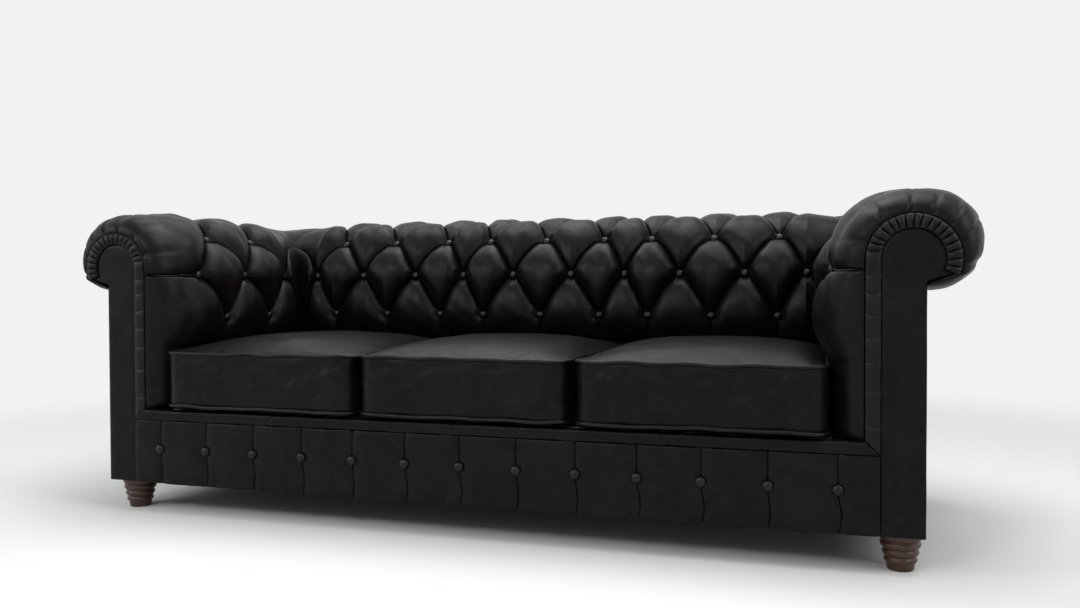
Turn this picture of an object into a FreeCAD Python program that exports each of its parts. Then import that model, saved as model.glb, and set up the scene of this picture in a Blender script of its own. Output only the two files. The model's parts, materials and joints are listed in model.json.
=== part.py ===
import FreeCAD, Part
import math
import os
import Sketcher
from FreeCAD import Placement, Rotation, Vector

# Three seat chesterfield sofa: rolled arms and back of one height, deep buttoned all the way round.
# X runs along the seat, Y from the front to the back and Z up from the floor, in millimetres.
# The origin is the middle of the footprint on the floor. Left and right are as seen from the front.
#
# Arms and back share one wall section. Its depth d grows outwards, away from the seat, from the plane
# in which the buttons of the middle row lie. Its height is z.

SIZES = (
    ("overall_width", 2226, "over the outermost points of both arm rolls"),
    ("overall_depth", 931, "from the front of the cushions to the back of the back roll"),
    ("foot_height", 78, "floor to the underside of the frame"),
    ("base_height", 162, "underside of the frame to the top of the seat rails"),
    ("lip_height", 28, "thickness of the padded lip on the front rail"),
    ("lip_depth", 36, "lip from its front to its back"),
    ("lip_proud", 8, "lip before the facings"),
    ("lip_round", 10, "radius of the upper front edge of the lip"),
    ("liner_height", 162, "seat deck to the lower edge of the buttoned covers"),
    ("shoulder_height", 332, "seat deck to where the upright face starts to roll outwards"),
    ("roll_height", 409, "seat deck to the centre of the roll"),
    ("roll_radius", 104, "outside radius of the roll"),
    ("roll_ease", 8, "how far the folds of the roll lie below its crests"),
    ("roll_reach", 293, "depth of a wall from the button plane to the outside of its roll"),
    ("panel_reach", 180, "depth of a wall from the button plane to its outside panel"),
    ("cover_depth", 16, "button plane to the foam behind it"),
    ("foam_thickness", 40, "foam layer of arms and back"),
    ("hessian_thickness", 2, "hessian stretched over the ribs"),
    ("row_c_height", 232, "seat deck to the lower button row"),
    ("row_b_height", 348, "seat deck to the middle button row"),
    ("row_a_height", 450, "seat deck to the upper button row"),
    ("fold_meeting_angle", 88, "angle round the shoulder at which the folds meet on top, in degrees"),
    ("row_c_stand", 14, "lower row before the button plane"),
    ("row_a_sink", 6, "upper row behind the smooth wall"),
    ("low_swell", 44, "swell of the leather below the middle row"),
    ("middle_swell", 35, "swell of the diamonds between the lower and upper row"),
    ("high_swell", 28, "swell of the diamonds above the middle row"),
    ("top_swell", 10, "swell of the leather over the roll"),
    ("fold_bow", 8, "how far a fold rises between two buttons"),
    ("mitre_gap", 148.7, "last back button of the upper and lower rows to the mitre"),
    ("narrow_pitch", 138.5, "the one closer spacing on each side of the back"),
    ("arm_mitre_gap", 79, "last middle row button of an arm to the mitre"),
    ("first_arm_button", 131, "front of the arm to its first middle row button"),
    ("button_radius", 11, "radius of a covered button"),
    ("button_height", 8, "thickness of a covered button"),
    ("button_top", 7, "radius of its top"),
    ("button_flat", 11.5, "half width of the pulled in flat under a button"),
    ("fold_line", 1.5, "half width of the bottom of a fold"),
    ("front_round", 103, "length over which the padded arm front rounds off"),
    ("front_pad", 45, "solid padding at the front of an arm, before its foam"),
    ("front_rise", 22, "swell of the padded arm front"),
    ("scroll_height", 368, "seat deck to the centre of the facing scroll"),
    ("scroll_inset", 25, "facing scroll centre inwards of the outside panel"),
    ("scroll_radius", 60.5, "radius of the facing scroll"),
    ("scroll_end_drop", 26, "end of the scroll below its centre"),
    ("band_width", 30, "ruched band round the facing"),
    ("band_proud", 3, "ruched band before the facing"),
    ("welt", 4, "narrow edge between the band and the rounded arm front"),
    ("welt_drop", 5, "end of that edge below the end of the scroll"),
    ("facing_thickness", 15, "padded leather facing"),
    ("facing_board_thickness", 18, "scroll shaped plywood behind the facing"),
    ("rib_thickness", 18, "plywood ribs in arms and back"),
    ("arm_rib_place", 350, "front of the arm to its middle rib"),
    ("rear_rib_place", 20, "button plane of the back to the rear rib of an arm"),
    ("back_rib_pitch", 480, "spacing of the ribs in the back"),
    ("rail_thickness", 40, "hardwood seat rails"),
    ("batten_height", 40, "hardwood battens inside the rolls"),
    ("batten_width", 45, "width of those battens"),
    ("batten_drop", 13, "top of those battens above the centre of the roll"),
    ("panel_thickness", 3, "leather on board outside the arms and back"),
    ("panel_tuck", 37, "centre of the roll to the top edge of the outside panels"),
    ("dust_cover_thickness", 1.5, "black cloth under the frame"),
    ("strap_thickness", 1.5, "elastic seat webbing"),
    ("strap_width", 50, "width of that webbing"),
    ("strap_pitch", 170, "spacing of the front to back webbing"),
    ("cross_strap_pitch", 160, "spacing of the webbing that crosses it"),
    ("stretcher_place", 300, "middle of the sofa to each seat stretcher"),
    ("stretcher_height", 70, "height of the seat stretchers"),
    ("stretcher_drop", 30, "top of the stretchers under the webbing"),
    ("deck_cloth_thickness", 1.5, "cloth on the seat deck"),
    ("border_proud", 12, "buttoned front border before the facings"),
    ("border_back", 8, "facing front to the face of the front rail"),
    ("border_fold", 7, "depth of the folds in the front border"),
    ("border_edge", 4, "front border at its upper and lower edge behind its swell"),
    ("border_pitch", 138.8, "spacing of its buttons"),
    ("border_button_height", 90, "underside of the frame to its buttons"),
    ("cushion_overhang", 20, "cushions before the facings"),
    ("cushion_split", 268, "middle of the sofa to the middle of each gap between cushions"),
    ("cushion_gap", 12, "gap between two cushions"),
    ("cushion_clearance", 5, "cushions to arms and back"),
    ("cushion_side", 139, "height of a cushion's side between its seams"),
    ("cushion_belly", 12, "how far a cushion's underside hangs below its lower seam"),
    ("cushion_crown", 42, "rise of its top over the upper seam"),
    ("cushion_draw", 6, "how far its sides pull in between the corners"),
    ("cushion_swell", 3, "how far its sides swell out between the seams"),
    ("core_inset", 24, "cushion foam core inside the sides of the cover"),
    ("core_cover", 8, "leather and wadding under and over the core"),
    ("foot_top_radius", 46, "turned foot at its collar"),
    ("foot_bottom_radius", 27, "turned foot on the floor"),
    ("foot_bead", 4.5, "how far a bead of a foot stands out"),
    ("foot_inset_side", 45, "foot centre inwards of the outside panels"),
    ("foot_inset_front", 60, "foot centre behind the facing front and before the outside back"),
    ("block_height", 60, "glued blocks that carry the feet"),
    ("block_length", 84, "length of those blocks"),
    ("bolt_radius", 4, "hanger bolt through foot and block"),
    ("bolt_play", 0.2, "play of the bolt in its bores"),
    ("bolt_in_foot", 36, "length of the bolt inside the foot"),
    ("nut_width", 24, "square tee nut on a block"),
    ("nut_thickness", 3, "thickness of that nut"),
    ("soft_gap", 0.3, "clearance between soft pieces and their neighbours"),
)

doc = FreeCAD.newDocument("chesterfield_sofa")
sheet = doc.addObject("Spreadsheet::Sheet", "Sizes")
for line, (alias, value, meaning) in enumerate(SIZES, start=1):
    sheet.set("A%d" % line, meaning)
    sheet.set("B%d" % line, str(value))
    sheet.setAlias("B%d" % line, alias)
doc.recompute()

# Places worked out from the driving sizes, as expressions of the sheet
FRONT = "(Sizes.cushion_overhang - Sizes.overall_depth / 2)"
ARM = "(Sizes.overall_width / 2 - Sizes.roll_reach)"
BACK = "(Sizes.overall_depth / 2 - Sizes.roll_reach)"
BASE = "Sizes.foot_height"
FLOORING = "(Sizes.foot_height + Sizes.dust_cover_thickness)"
RAIL_TOP = "(Sizes.foot_height + Sizes.base_height)"
DECK = "(%s + Sizes.lip_height)" % RAIL_TOP
SHOULDER = "(%s + Sizes.shoulder_height)" % DECK
ROLL_D = "(Sizes.roll_reach - Sizes.roll_radius)"
ROLL_Z = "(%s + Sizes.roll_height)" % DECK
ROLL_R = "(Sizes.roll_radius - Sizes.roll_ease)"
RISE = "(Sizes.roll_height - Sizes.shoulder_height)"
# Radius of the arc that leaves the upright face at the shoulder and meets the roll tangentially
SWEEP_R = "((%s^2 - %s^2 - %s^2) / (2 * (%s - %s)))" % (ROLL_R, ROLL_D, RISE, ROLL_R, ROLL_D)
SPRING = "(Sizes.cover_depth + Sizes.foam_thickness)"
RIB_FACE = "(%s + Sizes.hessian_thickness)" % SPRING
PANEL = "Sizes.panel_reach"
RIB_BACK = "(Sizes.panel_reach - Sizes.panel_thickness)"
RAIL_BACK = "(%s + Sizes.rail_thickness)" % RIB_FACE
SCROLL_D = "(Sizes.panel_reach - Sizes.scroll_inset)"
SCROLL_Z = "(%s + Sizes.scroll_height)" % DECK
SCROLL_END = "(%s - Sizes.scroll_end_drop)" % SCROLL_Z
BAND_R = "(Sizes.scroll_radius + Sizes.band_width)"
BAND_D = "(%s - %s)" % (SCROLL_D, BAND_R)
FACING_D = "(%s - Sizes.scroll_radius)" % SCROLL_D
BOARD_BACK = "(Sizes.facing_thickness + Sizes.facing_board_thickness)"
LIP_BACK = "(Sizes.lip_depth - Sizes.lip_proud)"
FOOT_D = "(Sizes.panel_reach - Sizes.foot_inset_side)"
STRAP_TOP = "(%s + 2 * Sizes.strap_thickness + Sizes.soft_gap)" % RAIL_TOP
BLOCK_TOP = "(%s + Sizes.block_height)" % FLOORING


def num(expression):
    """Value of a sheet expression, in millimetres or degrees."""
    found = sheet.evalExpression(expression)
    return float(getattr(found, "Value", found))


front, arm, back = num(FRONT), num(ARM), num(BACK)
rail_top, deck, shoulder = num(RAIL_TOP), num(DECK), num(SHOULDER)
roll_d, roll_z, roll_r = num(ROLL_D), num(ROLL_Z), num(ROLL_R)
sweep_r = num(SWEEP_R)
panel_d, cover_d, spring_d, rib_d = num(PANEL), num("Sizes.cover_depth"), num(SPRING), num(RIB_FACE)
scroll_d, scroll_z, band_r, board_back = num(SCROLL_D), num(SCROLL_Z), num(BAND_R), num(BOARD_BACK)
soft_gap = num("Sizes.soft_gap")
tuft_start = deck + num("Sizes.liner_height")
FAR = 2 * num("Sizes.overall_width")

nodes = []


def node(item):
    """Lists an object as a sub-part that is written to a file of its own."""
    nodes.append(item)
    return item


def board(label, low, high):
    """Straight board between two corners, each given as three sheet expressions."""
    box = doc.addObject("Part::Box", label)
    for side, start, end in zip(("Length", "Width", "Height"), low, high):
        box.setExpression(side, "(%s) - (%s)" % (end, start))
    for axis, start in zip("xyz", low):
        box.setExpression("Placement.Base." + axis, start)
    return box


def rod(label, radius, length, x, y, z):
    """Upright piece of twelve sides on a foot's axis."""
    shaft = doc.addObject("Part::Prism", label)
    shaft.Polygon = 12
    shaft.setExpression("Circumradius", radius)
    shaft.setExpression("Height", length)
    return moved(shaft, x, y, z)


def moved(piece, x="0", y="0", z="0"):
    """Puts a piece at a place given by sheet expressions."""
    for axis, expression in zip("xyz", (x, y, z)):
        piece.setExpression("Placement.Base." + axis, expression)
    return piece


def cut(label, solid, tool):
    """One piece with another taken out of it."""
    result = doc.addObject("Part::Cut", label)
    result.Base = solid
    result.Tool = tool
    return result


def group(label, members):
    """Like pieces kept as separate solids of one object."""
    joined = doc.addObject("Part::Compound", label)
    joined.Links = members
    return joined


def mirrored(label, source):
    """The same piece for the other side of the sofa."""
    twin = doc.addObject("Part::Mirroring", label)
    twin.Source = source
    twin.Normal = Vector(1, 0, 0)
    return node(twin)


def formed(label, shape):
    """Soft or formed piece whose shape is worked out from the sheet's values."""
    piece = doc.addObject("Part::Feature", label)
    piece.Shape = shape
    piece.Placement = Placement()
    return node(piece)


# Sketched outlines, whose corners are held by the sheet

def line_from(x, y, fix="xy"):
    """Corner from which a straight side runs to the next corner."""
    return (x, y, fix, None, 0)


def arc_from(x, y, centre_x, centre_y, turn, fix="xy"):
    """Corner from which an arc runs about a centre; turn is 1 for anticlockwise, -1 for clockwise."""
    return (x, y, fix, (centre_x, centre_y), turn)


def hold(sketch, edge, end, x, y, fix):
    """Ties one point of a sketch to the sheet, along x, y or both."""
    for letter, kind, expression, axis in (("x", "DistanceX", x, -2), ("y", "DistanceY", y, -1)):
        if letter not in fix:
            continue
        value = num(expression)
        if abs(value) < 1e-9:
            sketch.addConstraint(Sketcher.Constraint("PointOnObject", edge, end, axis))
            continue
        place = sketch.addConstraint(Sketcher.Constraint(kind, -1, 1, edge, end, value))
        sketch.setExpression("Constraints[%d]" % place, expression)


def outline(body, role, corners, name):
    """Closed sketch on one of the body's own planes."""
    sketch = body.newObject("Sketcher::SketchObject", name)
    plane = next(item for item in body.Origin.OriginFeatures if item.Role == role)
    sketch.AttachmentSupport = [(plane, "")]
    sketch.MapMode = "FlatFace"
    points = [Vector(num(corner[0]), num(corner[1]), 0) for corner in corners]
    starts, ends = [], []
    for index, (x, y, fix, centre, turn) in enumerate(corners):
        start, end = points[index], points[(index + 1) % len(corners)]
        if centre is None:
            edge = sketch.addGeometry(Part.LineSegment(start, end), False)
            starts.append((edge, 1))
            ends.append((edge, 2))
            continue
        middle = Vector(num(centre[0]), num(centre[1]), 0)
        circle = Part.Circle(middle, Vector(0, 0, 1), start.distanceToPoint(middle))
        low, high = (start, end) if turn > 0 else (end, start)
        from_angle, to_angle = (math.atan2(p.y - middle.y, p.x - middle.x) for p in (low, high))
        edge = sketch.addGeometry(Part.ArcOfCircle(circle, from_angle, to_angle), False)
        starts.append((edge, 1 if turn > 0 else 2))
        ends.append((edge, 2 if turn > 0 else 1))
        hold(sketch, edge, 3, centre[0], centre[1], "xy")
    for index, corner in enumerate(corners):
        sketch.addConstraint(Sketcher.Constraint("Coincident", *ends[index - 1], *starts[index]))
        hold(sketch, *starts[index], corner[0], corner[1], corner[2])
    return sketch


def plate(label, role, corners, thickness, reverse=False):
    """Flat piece: an outline on one of the body's planes, padded to its thickness."""
    body = doc.addObject("PartDesign::Body", label)
    sketch = outline(body, role, corners, label + "_outline")
    pad = body.newObject("PartDesign::Pad", label + "_pad")
    pad.Profile = sketch
    pad.setExpression("Length", thickness)
    pad.Reversed = reverse
    return body


# The wall section shared by arms and back

straight_run = shoulder - tuft_start
sweep_turn = math.pi - math.atan2(roll_z - shoulder, roll_d - sweep_r)
roll_ease = num("Sizes.roll_ease")
panel_edge = panel_d + soft_gap
under_turn = math.acos((panel_edge - roll_d) / (roll_r + roll_ease))
LENGTH_TOP = straight_run + sweep_r * sweep_turn
LENGTH_OUTERMOST = LENGTH_TOP + roll_r * (math.pi - sweep_turn)
LENGTH_END = LENGTH_OUTERMOST + roll_r * under_turn


def wall_point(length, rise=0.0):
    """Depth and height at a length along the smooth wall from the lower edge of the buttoned cover.

    The wall goes straight up, rolls outwards on the sweep arc and then round the roll. rise lifts the
    point off the smooth wall, towards the sitter or outwards on the roll.
    """
    if length <= straight_run:
        return (-rise, tuft_start + length)
    if length <= LENGTH_TOP:
        angle = (length - straight_run) / sweep_r
        reach = sweep_r + rise
        return (sweep_r - reach * math.cos(angle), shoulder + reach * math.sin(angle))
    angle = math.pi - sweep_turn - (length - LENGTH_TOP) / roll_r
    reach = roll_r + rise
    return (roll_d + reach * math.cos(angle), roll_z + reach * math.sin(angle))


def length_at(height):
    """Length at which the upright or sweeping face passes a height."""
    if height <= shoulder:
        return height - tuft_start
    return straight_run + sweep_r * math.asin((height - shoulder) / sweep_r)


ROW_C = length_at(deck + num("Sizes.row_c_height"))
ROW_B = length_at(deck + num("Sizes.row_b_height"))
ROW_A = length_at(deck + num("Sizes.row_a_height"))
ROW_Z = straight_run + sweep_r * math.radians(num("Sizes.fold_meeting_angle"))


def between(length, table):
    """Value at a length in a table of lengths and values, straight from entry to entry."""
    for (low, start), (high, end) in zip(table, table[1:]):
        if length <= high:
            return start + (end - start) * max(length - low, 0.0) / (high - low)
    return table[-1][1]


# Rise of the folds along the wall, and of the smooth leather at the padded front of an arm

FOLDS = (
    (0.0, 0.0),
    (ROW_C, num("Sizes.row_c_stand")),
    (ROW_B, 0.0),
    (ROW_A, -num("Sizes.row_a_sink")),
    (ROW_Z, 0.0),
    (LENGTH_END, 0.0),
)
SMOOTH = (
    (0.0, 0.0),
    (ROW_B / 2, num("Sizes.front_rise")),
    (ROW_B, 0.0),
    (ROW_Z, roll_ease),
    (LENGTH_END, roll_ease),
)
SWELLS = tuple(num("Sizes.%s_swell" % place) for place in ("low", "middle", "high", "top"))
CHORDS = (4, 4, 4, 5, 3)
SWELL_POWER = 0.6
STRIPS = 3
button_flat, fold_line, fold_bow = num("Sizes.button_flat"), num("Sizes.fold_line"), num("Sizes.fold_bow")


def swell(start, end, height, chords):
    """Points from one fold to the next over the leather that swells between them."""
    points = []
    for step in range(chords + 1):
        run = (1 - math.cos(math.pi * step / chords)) / 2
        lift = height * abs(math.sin(math.pi * run)) ** SWELL_POWER
        points.append((start[0] + (end[0] - start[0]) * run, start[1] + (end[1] - start[1]) * run + lift))
    return points


def column(share):
    """Row of lengths and rises up the buttoned leather.

    A share of 0 stands for a column through the buttons of the upper and lower rows and a share of 1
    for one through the middle row. In between the folds run straight from button to button. They part
    five swells: below the middle row, two rows of diamonds, over the roll and down its outside. The
    flats under the buttons take the place of the folds in the columns of their own rows.
    """
    flats = {
        0.0: ((-button_flat, button_flat), (-button_flat, 0.0), (0.0, button_flat)),
        1.0: ((-button_flat, 0.0), (0.0, button_flat), (-fold_line, fold_line)),
    }
    widths = flats.get(share, ((-fold_line, fold_line),) * 3)
    bow = 4 * share * (1 - share) * fold_bow
    ends = [(0.0, 0.0)]
    for (low, high), width in zip(((ROW_C, ROW_B), (ROW_A, ROW_B), (ROW_A, ROW_Z)), widths):
        at = low + share * (high - low)
        ends += [(at + offset, between(at, FOLDS) + bow) for offset in width]
    growing, falling = math.sin(share * math.pi / 2), math.cos(share * math.pi / 2)
    outside = (LENGTH_OUTERMOST, roll_ease * falling)
    ends += [outside, outside, (LENGTH_END, roll_ease * falling)]
    points = []
    for index, chords in enumerate(CHORDS):
        height = (*SWELLS, 0.0)[index] * (falling if index % 2 else growing)
        points += swell(ends[2 * index], ends[2 * index + 1], height, chords)
    points.remove(outside)
    return points


def leather(share):
    """The same column as depths and heights."""
    return [wall_point(*point) for point in column(share)]


# The inner surfaces follow the wall in flat facets

SWEEP_FACETS, ROLL_FACETS = 5, 7


def inset_line(inset, bottom):
    """Smooth wall seen from inside: upright, over the sweep and round the roll to the outside panel."""
    sweep, roll = sweep_r - inset, roll_r - inset
    points = [(inset, bottom), (inset, shoulder)]
    for step in range(1, SWEEP_FACETS + 1):
        angle = sweep_turn * step / SWEEP_FACETS
        points.append((sweep_r - sweep * math.cos(angle), shoulder + sweep * math.sin(angle)))
    start, end = math.pi - sweep_turn, -math.acos((panel_edge - roll_d) / roll)
    for step in range(1, ROLL_FACETS + 1):
        angle = start + (end - start) * step / ROLL_FACETS
        points.append((roll_d + roll * math.cos(angle), roll_z + roll * math.sin(angle)))
    return points


SCROLL_FACETS = SWEEP_FACETS + ROLL_FACETS
SCROLL_EASE = 1 / math.cos(math.pi * 0.56 / SCROLL_FACETS)
INNER_SCROLL = (band_r + soft_gap) * SCROLL_EASE
OUTER_SCROLL = (band_r + num("Sizes.welt")) * SCROLL_EASE


def scroll_point(radius, angle):
    """Depth and height on a circle about the centre of the facing scroll."""
    return (scroll_d + radius * math.cos(angle), scroll_z + radius * math.sin(angle))


def scroll_line():
    """Opening of the arm cover round facing, band and board."""
    end = -math.asin(num("Sizes.scroll_end_drop") / INNER_SCROLL)
    points = [(scroll_d - INNER_SCROLL, tuft_start), (scroll_d - INNER_SCROLL, scroll_z)]
    for step in range(1, SCROLL_FACETS + 1):
        points.append(scroll_point(INNER_SCROLL, math.pi + (end - math.pi) * step / SCROLL_FACETS))
    return points


def front_leather(share):
    """Padded arm front on its way from the smooth wall to the edge of the ruched band."""
    drop = num("Sizes.scroll_end_drop") + num("Sizes.welt_drop")
    turn = (
        (ROW_B + button_flat, math.pi),
        (ROW_Z, math.pi / 2),
        (LENGTH_OUTERMOST, 0.0),
        (LENGTH_END, -math.asin(drop / OUTER_SCROLL)),
    )
    points = []
    for length, _ in column(1.0):
        smooth = wall_point(length, between(length, SMOOTH))
        if length <= ROW_B + button_flat:
            edge = (scroll_d - OUTER_SCROLL, smooth[1])
        else:
            edge = scroll_point(OUTER_SCROLL, between(length, turn))
        points.append(tuple(a + (b - a) * share for a, b in zip(smooth, edge)))
    return points


SAME = 0.001


def facet(corners):
    """Flat face on a closed row of points, or none where repeated points leave fewer than three."""
    distinct = [corner for index, corner in enumerate(corners) if not corner.isEqual(corners[index - 1], SAME)]
    if len(distinct) < 3:
        return None
    return Part.Face(Part.makePolygon([*distinct, distinct[0]]))


def faceted(rings):
    """Solid of flat facets on closed rings of equally many points, flat at both ends."""
    faces = [facet(rings[0]), facet(rings[-1])]
    for ring, after in zip(rings, rings[1:]):
        for index in range(len(ring)):
            faces.append(facet((ring[index - 1], ring[index], after[index])))
            faces.append(facet((ring[index - 1], after[index], after[index - 1])))
    skin = Part.Compound([face for face in faces if face is not None])
    skin.sewShape()
    solid = Part.Solid(skin.Shells[0])
    if solid.Volume < 0:
        solid = Part.Solid(skin.Shells[0].reversed())
    return solid.removeSplitter()


def arm_place(y, slant=0.0):
    """Places depth and height in the right arm, slanted where the section belongs to the mitre."""
    return lambda d, z: Vector(arm + d, y + slant * d, z)


def back_place(x, slant=0.0):
    """Places depth and height in the back, slanted where the section belongs to a mitre."""
    return lambda d, z: Vector(x + slant * d, back + d, z)


def ring(outside, inside, place):
    """Closed ring of points between an outer and an inner row of depths and heights."""
    return [place(*point) for point in [*outside, *reversed(inside)]]


UNDER_DECK = deck + soft_gap


def prism(points, direction):
    """Straight sided solid on a closed row of points."""
    return Part.Face(Part.makePolygon([*points, points[0]])).extrude(direction)


def front_share(at):
    """How far the padded arm front has rounded off at a distance behind its front."""
    return 1 - math.sqrt(1 - (1 - at / num("Sizes.front_round")) ** 2)


# Places of the button columns. A knot is a place along the wall, the share of its column and its slant.

narrow_pitch = num("Sizes.narrow_pitch")
button_pitch = (arm - narrow_pitch - num("Sizes.mitre_gap")) / 3
OUTER_COLUMNS = [0.0, button_pitch, button_pitch + narrow_pitch, 2 * button_pitch + narrow_pitch,
                 3 * button_pitch + narrow_pitch]
MIDDLE_COLUMNS = [(a + b) / 2 for a, b in zip(OUTER_COLUMNS, [*OUTER_COLUMNS[1:], arm])]
arm_pitch = (back - front - num("Sizes.first_arm_button") - num("Sizes.arm_mitre_gap")) / 2
ARM_MIDDLE = [num("Sizes.first_arm_button") + arm_pitch * step for step in range(3)]
ARM_OUTER = [(a + b) / 2 for a, b in zip(ARM_MIDDLE, ARM_MIDDLE[1:])]


def tufting(knots, place):
    """Rings of the buttoned leather from knot to knot."""
    inside = inset_line(cover_d, tuft_start)
    rings = []
    for (low, first, lean), (high, last, end_lean) in zip(knots, knots[1:]):
        low += 0.0 if lean else button_flat
        high -= 0.0 if end_lean else button_flat
        for step in range(STRIPS + 1):
            part = step / STRIPS
            at = place(low + (high - low) * part, lean + (end_lean - lean) * part)
            rings.append(ring(leather(first + (last - first) * part), inside, at))
    return rings


BUTTON_SIDES = 8


def covered_button(seat, way):
    """Domed leather covered button that sits on its flat and faces a direction."""
    rings = []
    for radius, lift in (("Sizes.button_radius", 0.0), ("Sizes.button_top", num("Sizes.button_height"))):
        turns = [math.pi * (2 * step + 1) / BUTTON_SIDES for step in range(BUTTON_SIDES)]
        rings.append([Vector(num(radius) * math.cos(turn), num(radius) * math.sin(turn), lift) for turn in turns])
    button = faceted(rings)
    button.Placement = Placement(seat, Rotation(Vector(0, 0, 1), way))
    return button


def wall_buttons(knots, place):
    """Buttons of the knots without a slant: two in an outer column and one in a middle column."""
    buttons = []
    for at, share, slant in knots:
        for row in () if slant else (ROW_B,) if share else (ROW_C, ROW_A):
            rise = between(row, FOLDS)
            seat, above = (place(at)(*wall_point(row, rise + lift)) for lift in (0.0, 1.0))
            buttons.append(covered_button(seat, above - seat))
    return Part.makeCompound(buttons)


def foam_rings(places):
    """Foam between the cover and the ribs, at one place function for each end."""
    outside, inside = inset_line(cover_d, UNDER_DECK), inset_line(spring_d, UNDER_DECK)
    return [ring(outside, inside, place) for place in places]


def right_arm():
    """Buttoned cover, buttons, foam, hessian and liner of the right arm."""
    front_pad, front_round = num("Sizes.front_pad"), num("Sizes.front_round")
    opening, inside = scroll_line(), inset_line(cover_d, tuft_start)
    rings = []
    for at, inner in ((0.0, opening), (front_round * 0.03, opening), (front_round * 0.14, opening),
                      (board_back, opening), (front_pad, inside), (front_round, inside)):
        rings.append(ring(front_leather(front_share(at)), inner, arm_place(front + at)))
    first = ARM_MIDDLE[0] - button_flat
    rings.append(ring(leather(1.0), inside, arm_place(front + first)))
    knots = [(front + ARM_MIDDLE[0], 1.0, 0.0)]
    for outer, inner in zip(ARM_OUTER, ARM_MIDDLE[1:]):
        knots += [(front + outer, 0.0, 0.0), (front + inner, 1.0, 0.0)]
    knots.append((back, 0.0, 1.0))
    cover = faceted(rings + tufting(knots, arm_place))
    foam = faceted(foam_rings((arm_place(front + front_pad), arm_place(back, 1.0))))
    plan = [(spring_d, front_pad), (rib_d, front_pad), (rib_d, back - front + rib_d), (spring_d, back - front + spring_d)]
    hessian = prism([Vector(arm + d, front + y, UNDER_DECK) for d, y in plan], Vector(0, 0, shoulder - UNDER_DECK))

    # The plain liner stands between the cushions and the arm, with the same rounded front
    near, far = scroll_d - OUTER_SCROLL, scroll_d - INNER_SCROLL
    places = [front_round * share for share in (0.0, 0.03, 0.14)] + [board_back, front_pad, front_round]
    plan = [(near * front_share(at), at) for at in places]
    plan += [(0.0, back - front), (cover_d, back - front + cover_d), (cover_d, front_pad), (far, front_pad), (far, 0.0)]
    liner = prism([Vector(arm + d, front + y, UNDER_DECK) for d, y in plan],
                  Vector(0, 0, tuft_start - UNDER_DECK))
    return cover, wall_buttons(knots, arm_place), foam, hessian, liner


def back_wall():
    """Buttoned cover, buttons, foam, hessian and liner of the back."""
    right = []
    for outer, inner in zip(OUTER_COLUMNS, MIDDLE_COLUMNS):
        right += [(outer, 0.0, 0.0), (inner, 1.0, 0.0)]
    right.append((arm, 0.0, 1.0))
    knots = [(-at, share, -slant) for at, share, slant in reversed(right[1:])] + right
    cover = faceted(tufting(knots, back_place))
    foam = faceted(foam_rings((back_place(-arm, -1.0), back_place(arm, 1.0))))
    plan = [(-arm - spring_d, spring_d), (arm + spring_d, spring_d), (arm + rib_d, rib_d), (-arm - rib_d, rib_d)]
    hessian = prism([Vector(x, back + d, UNDER_DECK) for x, d in plan], Vector(0, 0, shoulder - UNDER_DECK))
    plan = [(-arm, 0), (arm, 0), (arm + cover_d, cover_d), (-arm - cover_d, cover_d)]
    liner = prism([Vector(x, back + d, UNDER_DECK) for x, d in plan], Vector(0, 0, tuft_start - UNDER_DECK))
    return cover, wall_buttons(knots, back_place), foam, hessian, liner


SIDE_CHORDS = 4


def cushion_ring(box, share, draw, height):
    """Level ring of a cushion whose sides are drawn in between the corners; share shrinks it."""
    low_x, high_x, low_y, high_y = box
    middle_x, middle_y = (low_x + high_x) / 2, (low_y + high_y) / 2
    half_x, half_y = (high_x - low_x) / 2 * share, (high_y - low_y) / 2 * share
    points = []
    for turn in range(4):
        for step in range(SIDE_CHORDS):
            run = 2 * step / SIDE_CHORDS - 1
            pull = draw * (1 - run * run)
            x, y = ((run * half_x, pull - half_y), (half_x - pull, run * half_y),
                    (-run * half_x, half_y - pull), (pull - half_x, -run * half_y))[turn]
            points.append(Vector(middle_x + x, middle_y + y, height))
    return points


CROWN_SHARES = (0.9, 0.72, 0.48, 0.22)


def cushion(low_x, high_x):
    """Cover and foam core of one crowned box cushion."""
    belly, crown, draw = (num("Sizes.cushion_" + part) for part in ("belly", "crown", "draw"))
    swollen = num("Sizes.cushion_swell")
    low_seam = deck + soft_gap + belly
    top_seam = low_seam + num("Sizes.cushion_side")
    box = (low_x, high_x, front - num("Sizes.cushion_overhang"), back - num("Sizes.cushion_clearance"))
    seam_share = 1 - 2 * swollen / (high_x - low_x)
    levels = [(0.6, draw / 2, low_seam - belly), (seam_share, draw, low_seam),
              (1.0, draw, (low_seam + top_seam) / 2), (seam_share, draw, top_seam)]
    levels += [(share, draw * share, top_seam + crown * (1 - share ** 3)) for share in CROWN_SHARES]
    cover = faceted([cushion_ring(box, *level) for level in levels])
    inset, wadding = num("Sizes.core_inset"), num("Sizes.core_cover")
    inner = (low_x + inset, high_x - inset, box[2] + inset, box[3] - inset)
    core_levels = [(1.0, draw, low_seam + wadding), (1.0, draw, top_seam - wadding),
                   (0.7, draw, top_seam + crown * 0.6 - wadding)]
    core = faceted([cushion_ring(inner, *level) for level in core_levels])
    return cover.cut(core), core


def seat_cushions():
    """The three loose cushions, each a leather cover round a foam core."""
    split, gap = num("Sizes.cushion_split"), num("Sizes.cushion_gap")
    edge = arm - num("Sizes.cushion_clearance")
    spans = (("left", -edge, -split - gap / 2), ("centre", gap / 2 - split, split - gap / 2),
             ("right", split + gap / 2, edge))
    for side, low_x, high_x in spans:
        cover, core = cushion(low_x, high_x)
        formed(side + "_cushion_cover", cover)
        formed(side + "_cushion_core", core)


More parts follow.
